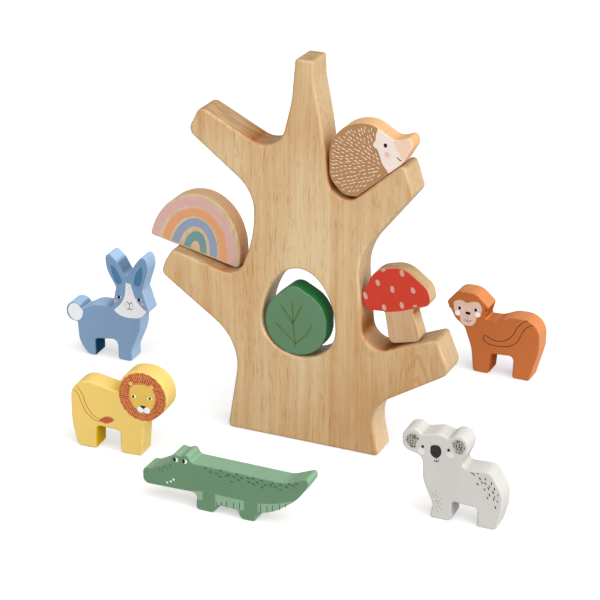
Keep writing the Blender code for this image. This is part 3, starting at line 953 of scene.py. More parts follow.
@dataclass
class Block:
    """A board cut along an outline, with rounded rims, standing upright in its own frame with its middle at y = 0."""

    name: str
    outline: Outline
    thickness: float
    rim: float
    place: Place
    finish: Finish
    hole: Outline | None = None
    reaches: tuple[float, ...] = (0.010, 0.014)

    @property
    def front(self) -> float:
        """Where the front face is in depth."""
        return -self.thickness / 2

    def profile(self) -> list[tuple[float, float, float, float]]:
        """The board's section.

        Returns:
            Each ring's inset, depth, and how far its surface faces outwards and forwards, from front to back.
        """
        rings = []
        for step in range(RIM_STEPS + 1):
            angle = math.pi / 2 * step / RIM_STEPS
            out, ahead = math.sin(angle), math.cos(angle)
            rings.append((self.rim * (1 - out), self.rim * (1 - ahead) + self.front, out, ahead))
        return rings + [(inset, -depth, out, -ahead) for inset, depth, out, ahead in reversed(rings)]

    def build(self) -> None:
        """Make the board itself, which stands for the solid of the same name."""
        shape = bmesh.new()
        normals, rims, fronts, crooks, ends = [], [], [], [], ([], [])
        for line in filter(None, (self.outline, self.hole)):
            closed_in = line.closed_in(self.reaches) if line is self.outline else np.zeros(len(line.points))
            loops = []
            for inset, depth, out, ahead in self.profile():
                loops.append([shape.verts.new((x, depth, z)) for x, z in line.inset(inset)])
                normals += [(x * out, -ahead, z * out) for x, z in line.outward]
                rims += [abs(2 * out * ahead)] * len(line.points)
                fronts += [max(0.0, ahead)] * len(line.points)
                crooks += list(closed_in * out)
            wall(shape, loops)
            for end, loop in zip(ends, (loops[0], loops[-1])):
                end.append(loop)
        for end in ends:
            self.close(shape, end)
        mesh = meshed(shape, self.name + "_board")
        # crook drives the painted shade and the faded gloss in the crooks
        store(mesh, rim=rims, front=fronts, crook=crooks)
        self.settle(mesh, normals)
        mesh.materials.append(self.finish.material(self.place))
        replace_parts(show(self.name + "_board", mesh, self.name), self.name)

    @staticmethod
    def close(shape: bmesh.types.BMesh, loops: list[list[bmesh.types.BMVert]]) -> None:
        """Close one face of the board, round the hole where there is one.

        Args:
            shape: The board's shape.
            loops: The rings round the face.
        """
        if len(loops) == 1:
            shape.faces.new(loops[0])
            return
        edges = [shape.edges.get((loop[step], loop[step - 1])) for loop in loops for step in range(len(loop))]
        bmesh.ops.triangle_fill(shape, use_beauty=True, use_dissolve=False, edges=edges)

    def settle(self, mesh: bpy.types.Mesh, normals: Iterable[Sequence[float]]) -> None:
        """Put a smooth mesh in the block's place.

        Args:
            mesh: The mesh, in the block's own frame.
            normals: A normal for each of its points, in that frame too.
        """
        spin = self.place.facing.to_matrix()
        mesh.transform(self.place.matrix)
        mesh.shade_smooth()
        mesh.normals_split_custom_set_from_vertices([spin @ Vector(normal) for normal in normals])

    @staticmethod
    def lift(level: int) -> float:
        """How far a layer of ink stands in front of the face."""
        return FIRST_LAYER + LAYER * level

    def add(self, name: str, mesh: bpy.types.Mesh) -> None:
        """Add a piece that rides with this block."""
        show(f"{self.name}_{name}", mesh, self.name)

    def patch(self, name: str, points: Points, ink: Ink, level: int = 0) -> None:
        """Print a patch on the flat front.

        Args:
            name: The piece's name after the block's.
            points: Its outline in the block's own frame, in millimetres.
            ink: What it is printed with.
            level: Which layer of ink it is.
        """
        loop = smooth_path(points, True)
        mesh = slab(name, ((loop, self.front - self.lift(level)), (loop, self.front + INK_SINK)))
        mesh.transform(self.place.matrix)
        mesh.materials.append(ink.material(self.place))
        self.add(name, mesh)

    def skin(self, lift: float, share: float) -> bpy.types.Mesh:
        """A thin slab that is the board's front grown a little.

        Args:
            lift: How far it is grown.
            share: How far round the rim it goes.

        Returns:
            The slab.
        """
        reach = self.rim + lift
        rings = []
        for step in range(RIM_STEPS + 1):
            angle = math.pi / 2 * share * step / RIM_STEPS
            rings.append((self.rim - reach * math.sin(angle), self.front + self.rim - reach * math.cos(angle)))
        rings.append((rings[-1][0], self.front + SKIN_DEPTH + self.rim))
        return slab("skin", ((self.outline.inset(inset), depth) for inset, depth in rings))

    def wrap(self, name: str, points: Points, ink: Ink, share: float = 0.7, level: int = 0) -> None:
        """Print a patch that runs over the rim where its outline passes the board's.

        Args:
            name: The piece's name after the block's.
            points: Its outline in the block's own frame, in millimetres.
            ink: What it is printed with.
            share: How far round the rim it goes.
            level: Which layer of ink it is.
        """
        loop = np.array(points) * MM
        cutter = in_scene("cutter", slab("cutter", ((loop, self.front - SKIN_DEPTH), (loop, self.front + CUT_DEPTH))))
        skin = in_scene("skin", self.skin(self.lift(level), share))
        cut = skin.modifiers.new("cut", "BOOLEAN")
        cut.operation, cut.solver, cut.object = "INTERSECT", "EXACT", cutter
        mesh = settled(skin)
        bpy.data.objects.remove(cutter)
        self.settle(mesh, self.normals(mesh))
        mesh.materials.clear()
        mesh.materials.append(ink.material(self.place))
        self.add(name, mesh)

    def normals(self, mesh: bpy.types.Mesh) -> Rows:
        """The board's own normals for a patch.

        Args:
            mesh: The patch, in the block's own frame.

        Returns:
            A normal for each of its points.
        """
        normals = []
        for x, depth, z in (vertex.co for vertex in mesh.vertices):
            ahead = min(1.0, max(0.0, (self.front + self.rim - depth) / self.rim))
            nearest = ((self.outline.points - (x, z)) ** 2).sum(1).argmin()
            out = self.outline.outward[nearest] * math.sqrt(1 - ahead * ahead)
            normals.append((out[0], -ahead, out[1]))
        return normals

    def through(self, kind: NodeShape, name: str, base: bpy.types.Mesh, ink: Ink, **values: Any) -> None:
        """Print a piece made by one of the node trees.

        Args:
            kind: Which tree.
            name: The piece's name after the block's.
            base: What goes in.
            ink: What it is printed with.
            values: The tree's other inputs, with a low line for a blank.
        """
        inputs = {key.replace("_", " "): value for key, value in values.items()}
        self.add(name, through_nodes(kind, name, base, {
            **inputs, "Place": self.place.foot, "Facing": self.place.facing, "Material": ink.material(self.place)}))

    def dots(self, name: str, marks: Marks, ink: Ink, level: int = 0, stamp: Stamp = OVAL) -> None:
        """Print marks.

        Args:
            name: The piece's name after the block's.
            marks: Each one's place along and up, length, width, in millimetres, and turn in degrees.
            ink: What they are printed with.
            level: Which layer of ink they are.
            stamp: Their shape and chance.
        """
        along, up, long, wide, turn = np.array(marks, float).T
        base = bpy.data.meshes.new(name)
        depth = INK_SINK + self.lift(level)
        middle = self.front + INK_SINK - depth / 2
        base.from_pydata([(x * MM, middle, z * MM) for x, z in zip(along, up)], [], [])
        store(base, long=long * MM, wide=wide * MM, turn=np.radians(turn))
        self.through(NodeShape.MARKS, name, base, ink, Sides=stamp.sides, Ink_Depth=depth, Roundness=stamp.roundness,
                     Turn_Chance=math.radians(stamp.turn), Size_Chance=stamp.size, Seed=stamp.seed)

    def lines(self, name: str, paths: Sequence[Points], width: float, ink: Ink, level: int = 0,
              taper: float = 0.35) -> None:
        """Print lines.

        Args:
            name: The piece's name after the block's.
            paths: The points that each line follows, in millimetres.
            width: How wide a line is, in millimetres.
            ink: What they are printed with.
            level: Which layer of ink they are.
            taper: How wide an end is, as a share of the width.
        """
        points, edges, wide = [], [], []
        for path in paths:
            made = smooth_path(path, False)
            first, count = len(points), len(made)
            points += [(x, self.front, z) for x, z in made]
            edges += [(first + step, first + step + 1) for step in range(count - 1)]
            for step in range(count):
                end = min(1.0, min(step, count - 1 - step) / max(1, count * TAPER_SHARE))
                wide.append(width * MM / 2 * (taper + (1 - taper) * end))
        base = bpy.data.meshes.new(name)
        base.from_pydata(points, edges, [])
        store(base, wide=wide)
        self.through(NodeShape.LINES, name, base, ink, Front=self.front, Ink_Depth=self.lift(level))


BLACK = Ink("black_ink", (8, 8, 8), patchy=0.05)
WHITE = Ink("white_ink", (216, 216, 218), patchy=0.02)


@dataclass
class Toy:
    """What every cut block has: its sizes, its corners as shares of them, its place and its finish."""

    name: str = ""
    width: float = 0.0
    height: float = 0.0
    thickness: float = 0.015
    rim: float = 0.0011
    rows: Rows = ()
    place: Place = field(default_factory=Place)
    finish: Finish = field(default_factory=lambda: Paint("plain"))

    def cut(self) -> tuple[Outline, float]:
        """The block's outline and the radius of its sharpest corner."""
        return rounded(self.rows, self.width, self.height)

    def block(self) -> Block:
        """The block, not yet in the scene.

        Returns:
            The block.
        """
        outline, sharpest = self.cut()
        rim = min(self.rim, sharpest * RIM_LIMIT_SHARE)
        return Block(self.name, outline, self.thickness, rim, self.place, self.finish)

    def build(self) -> None:
        """Make the block and print on it."""
        block = self.block()
        block.build()
        self.dress(block)

    def dress(self, block: Block) -> None:
        """Print on the block."""


@dataclass
class Tree(Toy):
    """The slab that holds the seated blocks."""

    name: str = "tree"
    height: float = 0.260
    width: float = 0.2025
    thickness: float = 0.022
    rim: float = 0.0019
    # foot=1.35 paints floor light on the tree's low sides
    finish: Finish = Wood("tree_wood", joints=((-47.0, -0.19), (19.0, 0.26), (66.0, 0.08)),
                          flame=(80.0, 42.0, 11.0, 38.0), drift=0.25, crown=0.3, foot=1.35, side=(0.96, 0.97, 1.02))
    hole_half_width: float = 0.0256
    hole_upper: float = 0.0365
    hole_lower: float = 0.0245
    hole_lean: float = -2.4
    hole_taper: float = 0.08
    hole_centre: Pair = (-0.015, 0.327)
    reaches: Triple = (0.012, 0.022, 0.034)
    rows: Rows = (
        (-0.350, 0.850, 0.019), (-0.084, 0.747, 0.061), (-0.038, 0.893, 0.231), (-0.025, 1.000, 0.0085),
        (0.035, 1.000, 0.0085), (0.036, 0.954, 0.154), (0.060, 0.856, 0.308), (0.103, 0.625, 0.046),
        (0.334, 0.780, 0.012), (0.367, 0.703, 0.019), (0.185, 0.525, 0.150), (0.211, 0.270, 0.048),
        (0.455, 0.347, 0.010), (0.500, 0.260, 0.027), (0.245, 0.138, 0.085), (0.247, 0.071, 0.100),
        (0.265, 0.000, 0.009), (-0.267, 0.000, 0.012), (-0.217, 0.241, 0.138), (-0.500, 0.394, 0.019),
        (-0.486, 0.428, 0.096), (-0.457, 0.463, 0.013), (-0.227, 0.417, 0.048), (-0.168, 0.533, 0.327),
        (-0.168, 0.650, 0.108), (-0.394, 0.783, 0.025),
    )

    def hole(self) -> Outline:
        """The egg-shaped hole.

        Returns:
            Its outline, with the wood outside it.
        """
        turns = -math.tau * np.arange(EGG_STEPS) / EGG_STEPS
        tall = np.where(np.sin(turns) > 0, self.hole_upper, self.hole_lower)
        narrow = 1 - self.hole_taper * np.sin(turns)
        ring = np.stack([self.hole_half_width * np.cos(turns) * narrow, tall * np.sin(turns)], 1)
        run = np.roll(ring, -1, 0) - np.roll(ring, 1, 0)
        inward = unit(np.stack([run[:, 1], -run[:, 0]], 1))
        centre = np.array(self.hole_centre) * (self.width, self.height)
        return Outline((turned(ring, self.hole_lean) + centre)[::-1], turned(inward, self.hole_lean)[::-1])

    def block(self) -> Block:
        """The slab, with its hole."""
        return replace(super().block(), hole=self.hole(), reaches=self.reaches)


@dataclass
class Hedgehog(Toy):
    """The hedgehog on the upper right branch."""

    name: str = "hedgehog"
    width: float = 0.0618
    height: float = 0.0391
    thickness: float = 0.0135
    place: Place = Place((36.370, -3.85, 176.260), lean=40.7457)
    finish: Finish = Paint("hedgehog_side_paint", (224, 172, 122), (209, 164, 119))
    rows: Rows = (
        (0.000, 0.000, 0.128), (-0.109, 0.141, 0.256), (-0.124, 0.498, 0.332), (0.285, 1.260, 0.626),
        (0.643, 0.776, 0.358), (0.731, 0.361, 0.204), (0.898, 0.259, 0.066), (0.851, 0.111, 0.089),
        (0.653, 0.000, 0.383),
    )
    hairline: Points = ((28.5, -2.5), (28.5, 1.1), (28.8, 6.5), (29.7, 9.7), (31.6, 14.6), (32.0, 16.6), (31.3, 18.2),
                        (31.5, 20.0), (33.0, 20.9), (34.7, 21.3), (36.3, 23.0), (38.3, 24.6), (40.9, 26.2),
                        (44.0, 28.2))
    chin: Pair = (28.0, 3.0)
    rings: int = 13
    first_ring: float = 5.5
    ring_gap: float = 3.0
    dash_gap: float = 2.35
    dash_size: Pair = (2.15, 0.39)
    edge_gap: float = 1.1
    hair_gap: float = 1.2
    turn_chance: float = 0.16
    ring_chance: float = 0.7
    lean_rate: float = 4.0
    most_lean: float = 18.0

    def dress(self, block: Block) -> None:
        """Print the face, the spiny coat and its dashes.

        Args:
            block: The block to print on.
        """
        cream = Ink("face_cream", (216, 201, 191))
        block.wrap("face_print", ((22, -3), (22, 45), (62, 45), (62, -3)), cream, share=0.5)
        snout = ((42.1, -3), (42.1, 3.0), (42.3, 6.3), (43.0, 10.3), (44.0, 13.5), (45.5, 15.3), (48, 18), (62, 18),
                 (62, -3))
        block.wrap("snout_print", snout, Ink("snout_peach", (216, 184, 164)), share=0.5, level=1)
        coat = [*smooth_path(self.hairline, False) / MM, (44, 45), (-15, 45), (-15, -2.5)]
        block.wrap("coat_print", coat, Ink("coat_brown", (156, 118, 81)), share=0.5, level=1)
        block.dots("dash_prints", self.dashes(block), Ink("dash_pink", (244, 212, 193)), 2,
                   Stamp(roundness=0.6, sides=10, turn=7, size=0.2, seed=3))
        block.dots("cheek_print", [(35.4, 10.2, 3.4, 3.8, 0)], Ink("cheek_pink", (214, 170, 166)), 1)
        block.dots("eye_print", [(38.2, 15.3, 2.3, 2.8, -40)], BLACK, 1)
        block.lines("smile_print", [((39.9, 5.6), (39.9, 4.0), (40.3, 2.8), (41.0, 2.0))], 0.6, BLACK, 2)

    def dashes(self, block: Block) -> Marks:
        """Rows of dashes that fan out from the chin.

        Args:
            block: The block that they have to stay on.

        Returns:
            The dashes.
        """
        hair = smooth_path(self.hairline, False) / MM
        inside = block.outline.inset(block.rim) / MM
        made = []
        chance = np.random.default_rng(5)
        centre = np.array(self.chin)
        for row in range(self.rings):
            radius = self.first_ring + self.ring_gap * row
            count = int(math.tau * radius / self.dash_gap)
            for step in range(count):
                turn = chance.uniform(-self.turn_chance, self.turn_chance)
                angle = math.tau * (step + 0.5 * (row % 2) + turn) / count
                out = radius + chance.uniform(-self.ring_chance, self.ring_chance)
                spot = centre + out * np.array((math.cos(angle), math.sin(angle)))
                if not within(spot, inside) or clearance(spot, inside) < self.edge_gap:
                    continue
                if right_of(spot, hair) or clearance(spot, hair, False) < self.hair_gap:
                    continue
                lean = min(self.most_lean, self.lean_rate * max(0.0, spot[0] - centre[0]))
                made.append((*spot, *self.dash_size, math.degrees(angle) - lean))
        return made


def within(spot: np.ndarray, loop: np.ndarray) -> bool:
    """Whether a point is inside a closed outline.

    Args:
        spot: The point.
        loop: The outline's points.

    Returns:
        True if it is.
    """
    near, far = loop, np.roll(loop, -1, 0)
    crosses = (near[:, 1] > spot[1]) != (far[:, 1] > spot[1])
    rise = np.where(far[:, 1] == near[:, 1], 1, far[:, 1] - near[:, 1])
    at = near[:, 0] + (spot[1] - near[:, 1]) * (far[:, 0] - near[:, 0]) / rise
    return bool((crosses & (spot[0] < at)).sum() % 2)


def clearance(spot: np.ndarray, line: np.ndarray, closed: bool = True) -> float:
    """The least distance from a point to a line of points.

    Args:
        spot: The point.
        line: The line's points.
        closed: Whether the line comes back to its first point.

    Returns:
        The distance.
    """
    run = (np.roll(line, -1, 0) - line) if closed else np.diff(line, axis=0)
    start = line if closed else line[:-1]
    share = np.clip(((spot - start) * run).sum(1) / np.maximum((run * run).sum(1), 1e-9), 0, 1)[:, None]
    return float(np.linalg.norm(start + share * run - spot, axis=1).min())


def right_of(spot: np.ndarray, line: np.ndarray) -> bool:
    """Whether a point is to the right of a line that runs upwards."""
    return bool(spot[0] > np.interp(spot[1], line[:, 1], line[:, 0]))


@dataclass
class Rainbow(Toy):
    """The rainbow in the lower left crook."""

    name: str = "rainbow"
    width: float = 0.0654
    height: float = 0.0403
    thickness: float = 0.0135
    left_corner: float = 0.0016
    right_corner: float = 0.003
    foot: float = 0.0016
    place: Place = Place((-80.3427, 3.55, 117.9174), lean=-12.4018)
    finish: Finish = Wood("rainbow_wood", (192, 173, 146), (181, 154, 120), side=(1.4, 0.96, 0.62), end=1.12, seed=5.0)
    stripes: tuple[tuple[str, Colour, float, Pair, Pair], ...] = (
        ("pink_stripe_print", (191, 152, 146), -1.4, (30.6, 37.3), (25.2, 31.6)),
        ("orange_stripe_print", (198, 139, 100), -0.4, (23.6, 30.5), (18.2, 24.9)),
        ("blue_stripe_print", (127, 138, 160), -0.4, (16.6, 23.6), (11.2, 17.9)),
        ("teal_stripe_print", (98, 132, 133), 0.2, (8.4, 15.0), (3.7, 8.0)),
    )

    def at(self, angle: float) -> tuple[np.ndarray, np.ndarray]:
        """A point of the arch's ellipse.

        Args:
            angle: The angle on the ellipse.

        Returns:
            The point, and the direction that faces out there.
        """
        half = self.width / 2
        point = np.array([half * math.cos(angle), self.height * math.sin(angle)])
        return point, unit(np.array([self.height * math.cos(angle), half * math.sin(angle)]))

    def corner(self, radius: float) -> float:
        """Find where on the ellipse the rounding of a corner starts.

        Args:
            radius: The rounding's radius.

        Returns:
            The angle on the ellipse.
        """
        low, high = 0.0, math.pi / 2
        for _ in range(CORNER_TRIES):
            angle = (low + high) / 2
            point, outward = self.at(angle)
            if (point - outward * radius)[1] < radius:
                low = angle
            else:
                high = angle
        return high

    def cut(self) -> tuple[Outline, float]:
        """Half an ellipse on a flat foot.

        Returns:
            The outline, and the radius of its sharpest corner.
        """
        left, right = math.pi - self.corner(self.left_corner), self.corner(self.right_corner)
        points, outward = [], []
        for step in range(ARCH_STEPS + 1):
            point, out = self.at(left + (right - left) * step / ARCH_STEPS)
            points.append(point)
            outward.append(out)
        down = np.array([0.0, -1.0])
        for angle, radius in ((right, self.right_corner), (left, self.left_corner)):
            point, out = self.at(angle)
            ways = arc(out, down, radius)
            ways = ways[1:] if angle == right else ways[:0:-1]
            points += [point - out * radius + radius * way for way in ways]
            outward += ways
        return Outline(np.array(points), np.array(outward)), self.left_corner

    def dress(self, block: Block) -> None:
        """Print the stripes.

        Args:
            block: The block to print on.
        """
        for name, colour, middle, outer, inner in self.stripes:
            sizes = [Vector((wide, 0, tall)) * MM for wide, tall in (outer, inner)]
            block.through(NodeShape.STRIPE, name, bpy.data.meshes.new(name), Ink(name, colour, patchy=0.02),
                          Middle=middle * MM, Outer_Size=sizes[0], Inner_Size=sizes[1], Foot=self.foot,
                          Front=block.front + INK_SINK, Ink_Depth=-INK_SINK - block.lift(0), Steps=STRIPE_STEPS)


@dataclass
class Mushroom(Toy):
    """The mushroom on the lower right branch."""

    name: str = "mushroom"
    width: float = 0.0462
    height: float = 0.0503
    thickness: float = 0.0115
    place: Place = Place((69.8301, -2.25, 82.6112), lean=13.4569)
    finish: Finish = Wood("mushroom_wood", (186, 156, 122), (170, 134, 95), side=(1.06, 1.04, 0.95), seed=9.0)
    rows: Rows = (
        (0.212, 1.000, 0.318), (0.500, 0.684, 0.199), (0.500, 0.472, 0.107), (0.208, 0.432, 0.030),
        (0.242, 0.000, 0.080), (-0.242, 0.000, 0.080), (-0.208, 0.432, 0.030), (-0.500, 0.472, 0.107),
        (-0.500, 0.684, 0.199), (-0.212, 1.000, 0.318),
    )
    spots: Rows = ((-9.9, 41.3, 4.2), (-0.9, 36.3, 4.7), (12.9, 34.7, 4.2), (7.9, 46.5, 4.4), (-20.3, 33.3, 4.9),
                   (-9.2, 24.6, 4.2), (3.2, 25.3, 4.5), (12.0, 24.3, 1.6), (-4.2, 49.2, 1.4))
    spot_width: float = 3.2
    spot_narrowing: float = 0.1
    spot_turn: float = 94.0

    def dress(self, block: Block) -> None:
        """Print the cap and its spots.

        Args:
            block: The block to print on.
        """
        cap = ((-30, 23.6), (-22, 23.2), (-15, 22.5), (-10, 21.7), (-5, 21.4), (0, 21.4), (5, 21.8), (10, 22.6),
               (16, 23.5), (20, 23.9), (30, 24.2), (30, 60), (-30, 60))
        block.wrap("cap_print", cap, Ink("cap_red", (181, 52, 35), patchy=0.05), share=0.5)
        spots = [(x, z, tall, self.spot_width - self.spot_narrowing * tall, self.spot_turn)
                 for x, z, tall in self.spots]
        block.dots("spot_prints", spots, Ink("spot_pink", (184, 142, 128)), 1,
                   Stamp(sides=28, turn=8, size=0.04, seed=4))


@dataclass
class Leaf(Toy):
    """The leaf in the trunk's hole."""

    name: str = "leaf"
    width: float = 0.043
    height: float = 0.0477
    thickness: float = 0.0135
    place: Place = Place((-5.1375, -3.45, 61.2472))
    finish: Finish = Paint("leaf_paint", (86, 120, 89), (33, 113, 57))
    rows: Rows = (
        (-0.044, 1.034, 0.168), (0.500, 0.782, 0.440), (0.500, 0.000, 0.449), (-0.500, 0.000, 0.449),
        (-0.500, 0.681, 0.490),
    )
    veins: tuple[Points, ...] = (
        ((-2.2, 38.0), (-1.9, 31.1), (-1.4, 21.4), (-0.9, 15.2), (-0.2, 9.0), (-0.2, 4.7)),
        ((-10.3, 33.5), (-5.8, 27.6), (-1.6, 21.4)), ((4.8, 35.8), (2.0, 29.7), (-1.2, 22.6)),
        ((-14.3, 20.8), (-10.1, 17.0), (-5.8, 13.2), (-0.9, 9.2)),
        ((11.1, 23.7), (10.4, 20.1), (7.6, 15.3), (3.4, 11.0), (-0.2, 8.0)),
    )

    def dress(self, block: Block) -> None:
        """Print the veins."""
        block.lines("vein_prints", self.veins, 1.2, Ink("vein_olive", (84, 100, 56), patchy=0.1), taper=0.6)


@dataclass
class Rabbit(Toy):
    """The rabbit, behind and left."""

    name: str = "rabbit"
    width: float = 0.0652
    height: float = 0.0806
    place: Place = Place((-178.6, 59.1, 0.0), turn=2.5)
    finish: Finish = Paint("rabbit_paint", (117, 143, 172), (159, 188, 218), crook_shade=(0.04, 0.11, 0.18))
    rows: Rows = (
        (0.000, 1.018, 0.033), (0.129, 0.936, 0.175), (0.245, 0.770, 0.039), (0.341, 0.922, 0.250),
        (0.448, 1.031, 0.033), (0.501, 0.906, 0.163), (0.417, 0.690, 0.037), (0.495, 0.495, 0.028),
        (0.398, 0.430, 0.031), (0.391, 0.319, 0.375), (0.282, 0.113, 0.075), (0.281, 0.000, 0.030),
        (0.118, 0.000, 0.028), (0.113, 0.195, 0.056), (-0.149, 0.163, 0.016), (-0.152, 0.000, 0.017),
        (-0.251, 0.000, 0.094), (-0.357, 0.119, 0.225), (-0.369, 0.302, 0.017), (-0.499, 0.296, 0.082),
        (-0.499, 0.483, 0.085), (-0.346, 0.481, 0.062), (-0.293, 0.430, 0.015), (-0.147, 0.501, 0.200),
        (0.062, 0.495, 0.016), (0.113, 0.690, 0.050), (-0.003, 0.856, 0.275),
    )
    muzzle: Points = ((5.4, 38.2), (7.7, 35.9), (10.7, 34.5), (15.4, 33.7), (20.8, 34.0), (25.5, 35.0), (28.7, 37.4),
                      (31.1, 40.5))
    blaze_right: Points = ((31.1, 40.5), (27.3, 42.9), (24.3, 46.2), (21.8, 50.4), (20.4, 54.7), (18.8, 60.3))
    blaze_left: Points = ((15.3, 60.2), (14.8, 54.0), (13.8, 49.4), (11.7, 44.7), (8.6, 41.0), (5.4, 38.2))
    tail: Points = ((-30.9, 31.6), (-30.2, 34.8), (-28.3, 37.2), (-25.4, 38.1), (-22.6, 37.3), (-20.9, 35.2),
                    (-19.2, 33.3), (-19.5, 30.6), (-20.7, 27.4), (-23.2, 25.4), (-26.3, 25.2), (-29.2, 27.4))
    whiskers: Points = ((14.5, 44.6), (13.8, 43.2), (14.3, 41.8), (15.2, 43.7), (15.2, 41.3), (20.4, 44.6),
                        (21.4, 43.4), (20.9, 42.0), (20.1, 43.2), (20.0, 41.0), (16.9, 58.6), (17.6, 56.9),
                        (17.0, 55.2), (18.0, 53.6), (17.4, 52.0))
    whisker_size: Pair = (0.9, 0.4)
    whisker_turn: float = 70.0
    nose: tuple[Points, ...] = (
        ((15.7, 46.1), (17.7, 44.4), (19.8, 46.2)), ((17.7, 44.4), (17.6, 40.9)),
        ((15.7, 39.7), (16.6, 40.2), (17.6, 40.9)), ((17.6, 40.9), (18.6, 40.4), (19.4, 40.0)),
    )

    def dress(self, block: Block) -> None:
        """Print the head, the blaze, the ears, the tail and the face.

        Args:
            block: The block to print on.
        """
        parts = [smooth_path(line, False) / MM for line in (self.muzzle, self.blaze_right, self.blaze_left)]
        head = [*parts[0], (45, 41), (45, 90), (-14, 90), (-14, 41.6), (3.9, 40.8)]
        block.wrap("head_print", head, Ink("head_blue", (112, 141, 172)))
        block.wrap("blaze_print", np.concatenate([part[:-1] for part in parts]), WHITE, share=0.5, level=1)
        ears = Ink("inner_ear_blue", (68, 112, 148))
        block.patch("left_ear_print", ((4.2, 71.6), (7.6, 70.0), (10.4, 65.4), (12.3, 60.4), (10.6, 58.6), (8.6, 58.4),
                                       (6.3, 61.8), (4.7, 66.5)), ears, 1)
        block.patch("right_ear_print", ((27.9, 73.2), (28.3, 68.0), (27.4, 62.4), (25.5, 58.9), (21.9, 59.8),
                                        (22.2, 65.0), (24.6, 70.4)), ears, 1)
        block.patch("tail_print", self.tail, WHITE)
        block.dots("cheek_prints", [(7.0, 45.2, 3.3, 2.3, 10), (27.7, 45.8, 3.0, 2.6, -10)],
                   Ink("cheek_coral", (192, 149, 152)), 1)
        block.dots("eye_white_prints", [(9.7, 48.5, 4.1, 1.5, 0), (25.1, 48.8, 4.1, 1.5, 0)], WHITE, 1)
        block.dots("eye_prints", [(9.6, 48.5, 2.3, 2.4, 0), (25.1, 48.8, 2.3, 2.4, 0)], BLACK, 2)
        block.lines("nose_print", self.nose, 0.6, Ink("nose_grey", (64, 62, 62)), 2, taper=0.7)
        whiskers = [(*spot, *self.whisker_size, self.whisker_turn * (-1) ** k) for k, spot in enumerate(self.whiskers)]
        block.dots("whisker_prints", whiskers, Ink("whisker_grey", (128, 128, 130)), 2,
                   Stamp(roundness=0.6, sides=8))


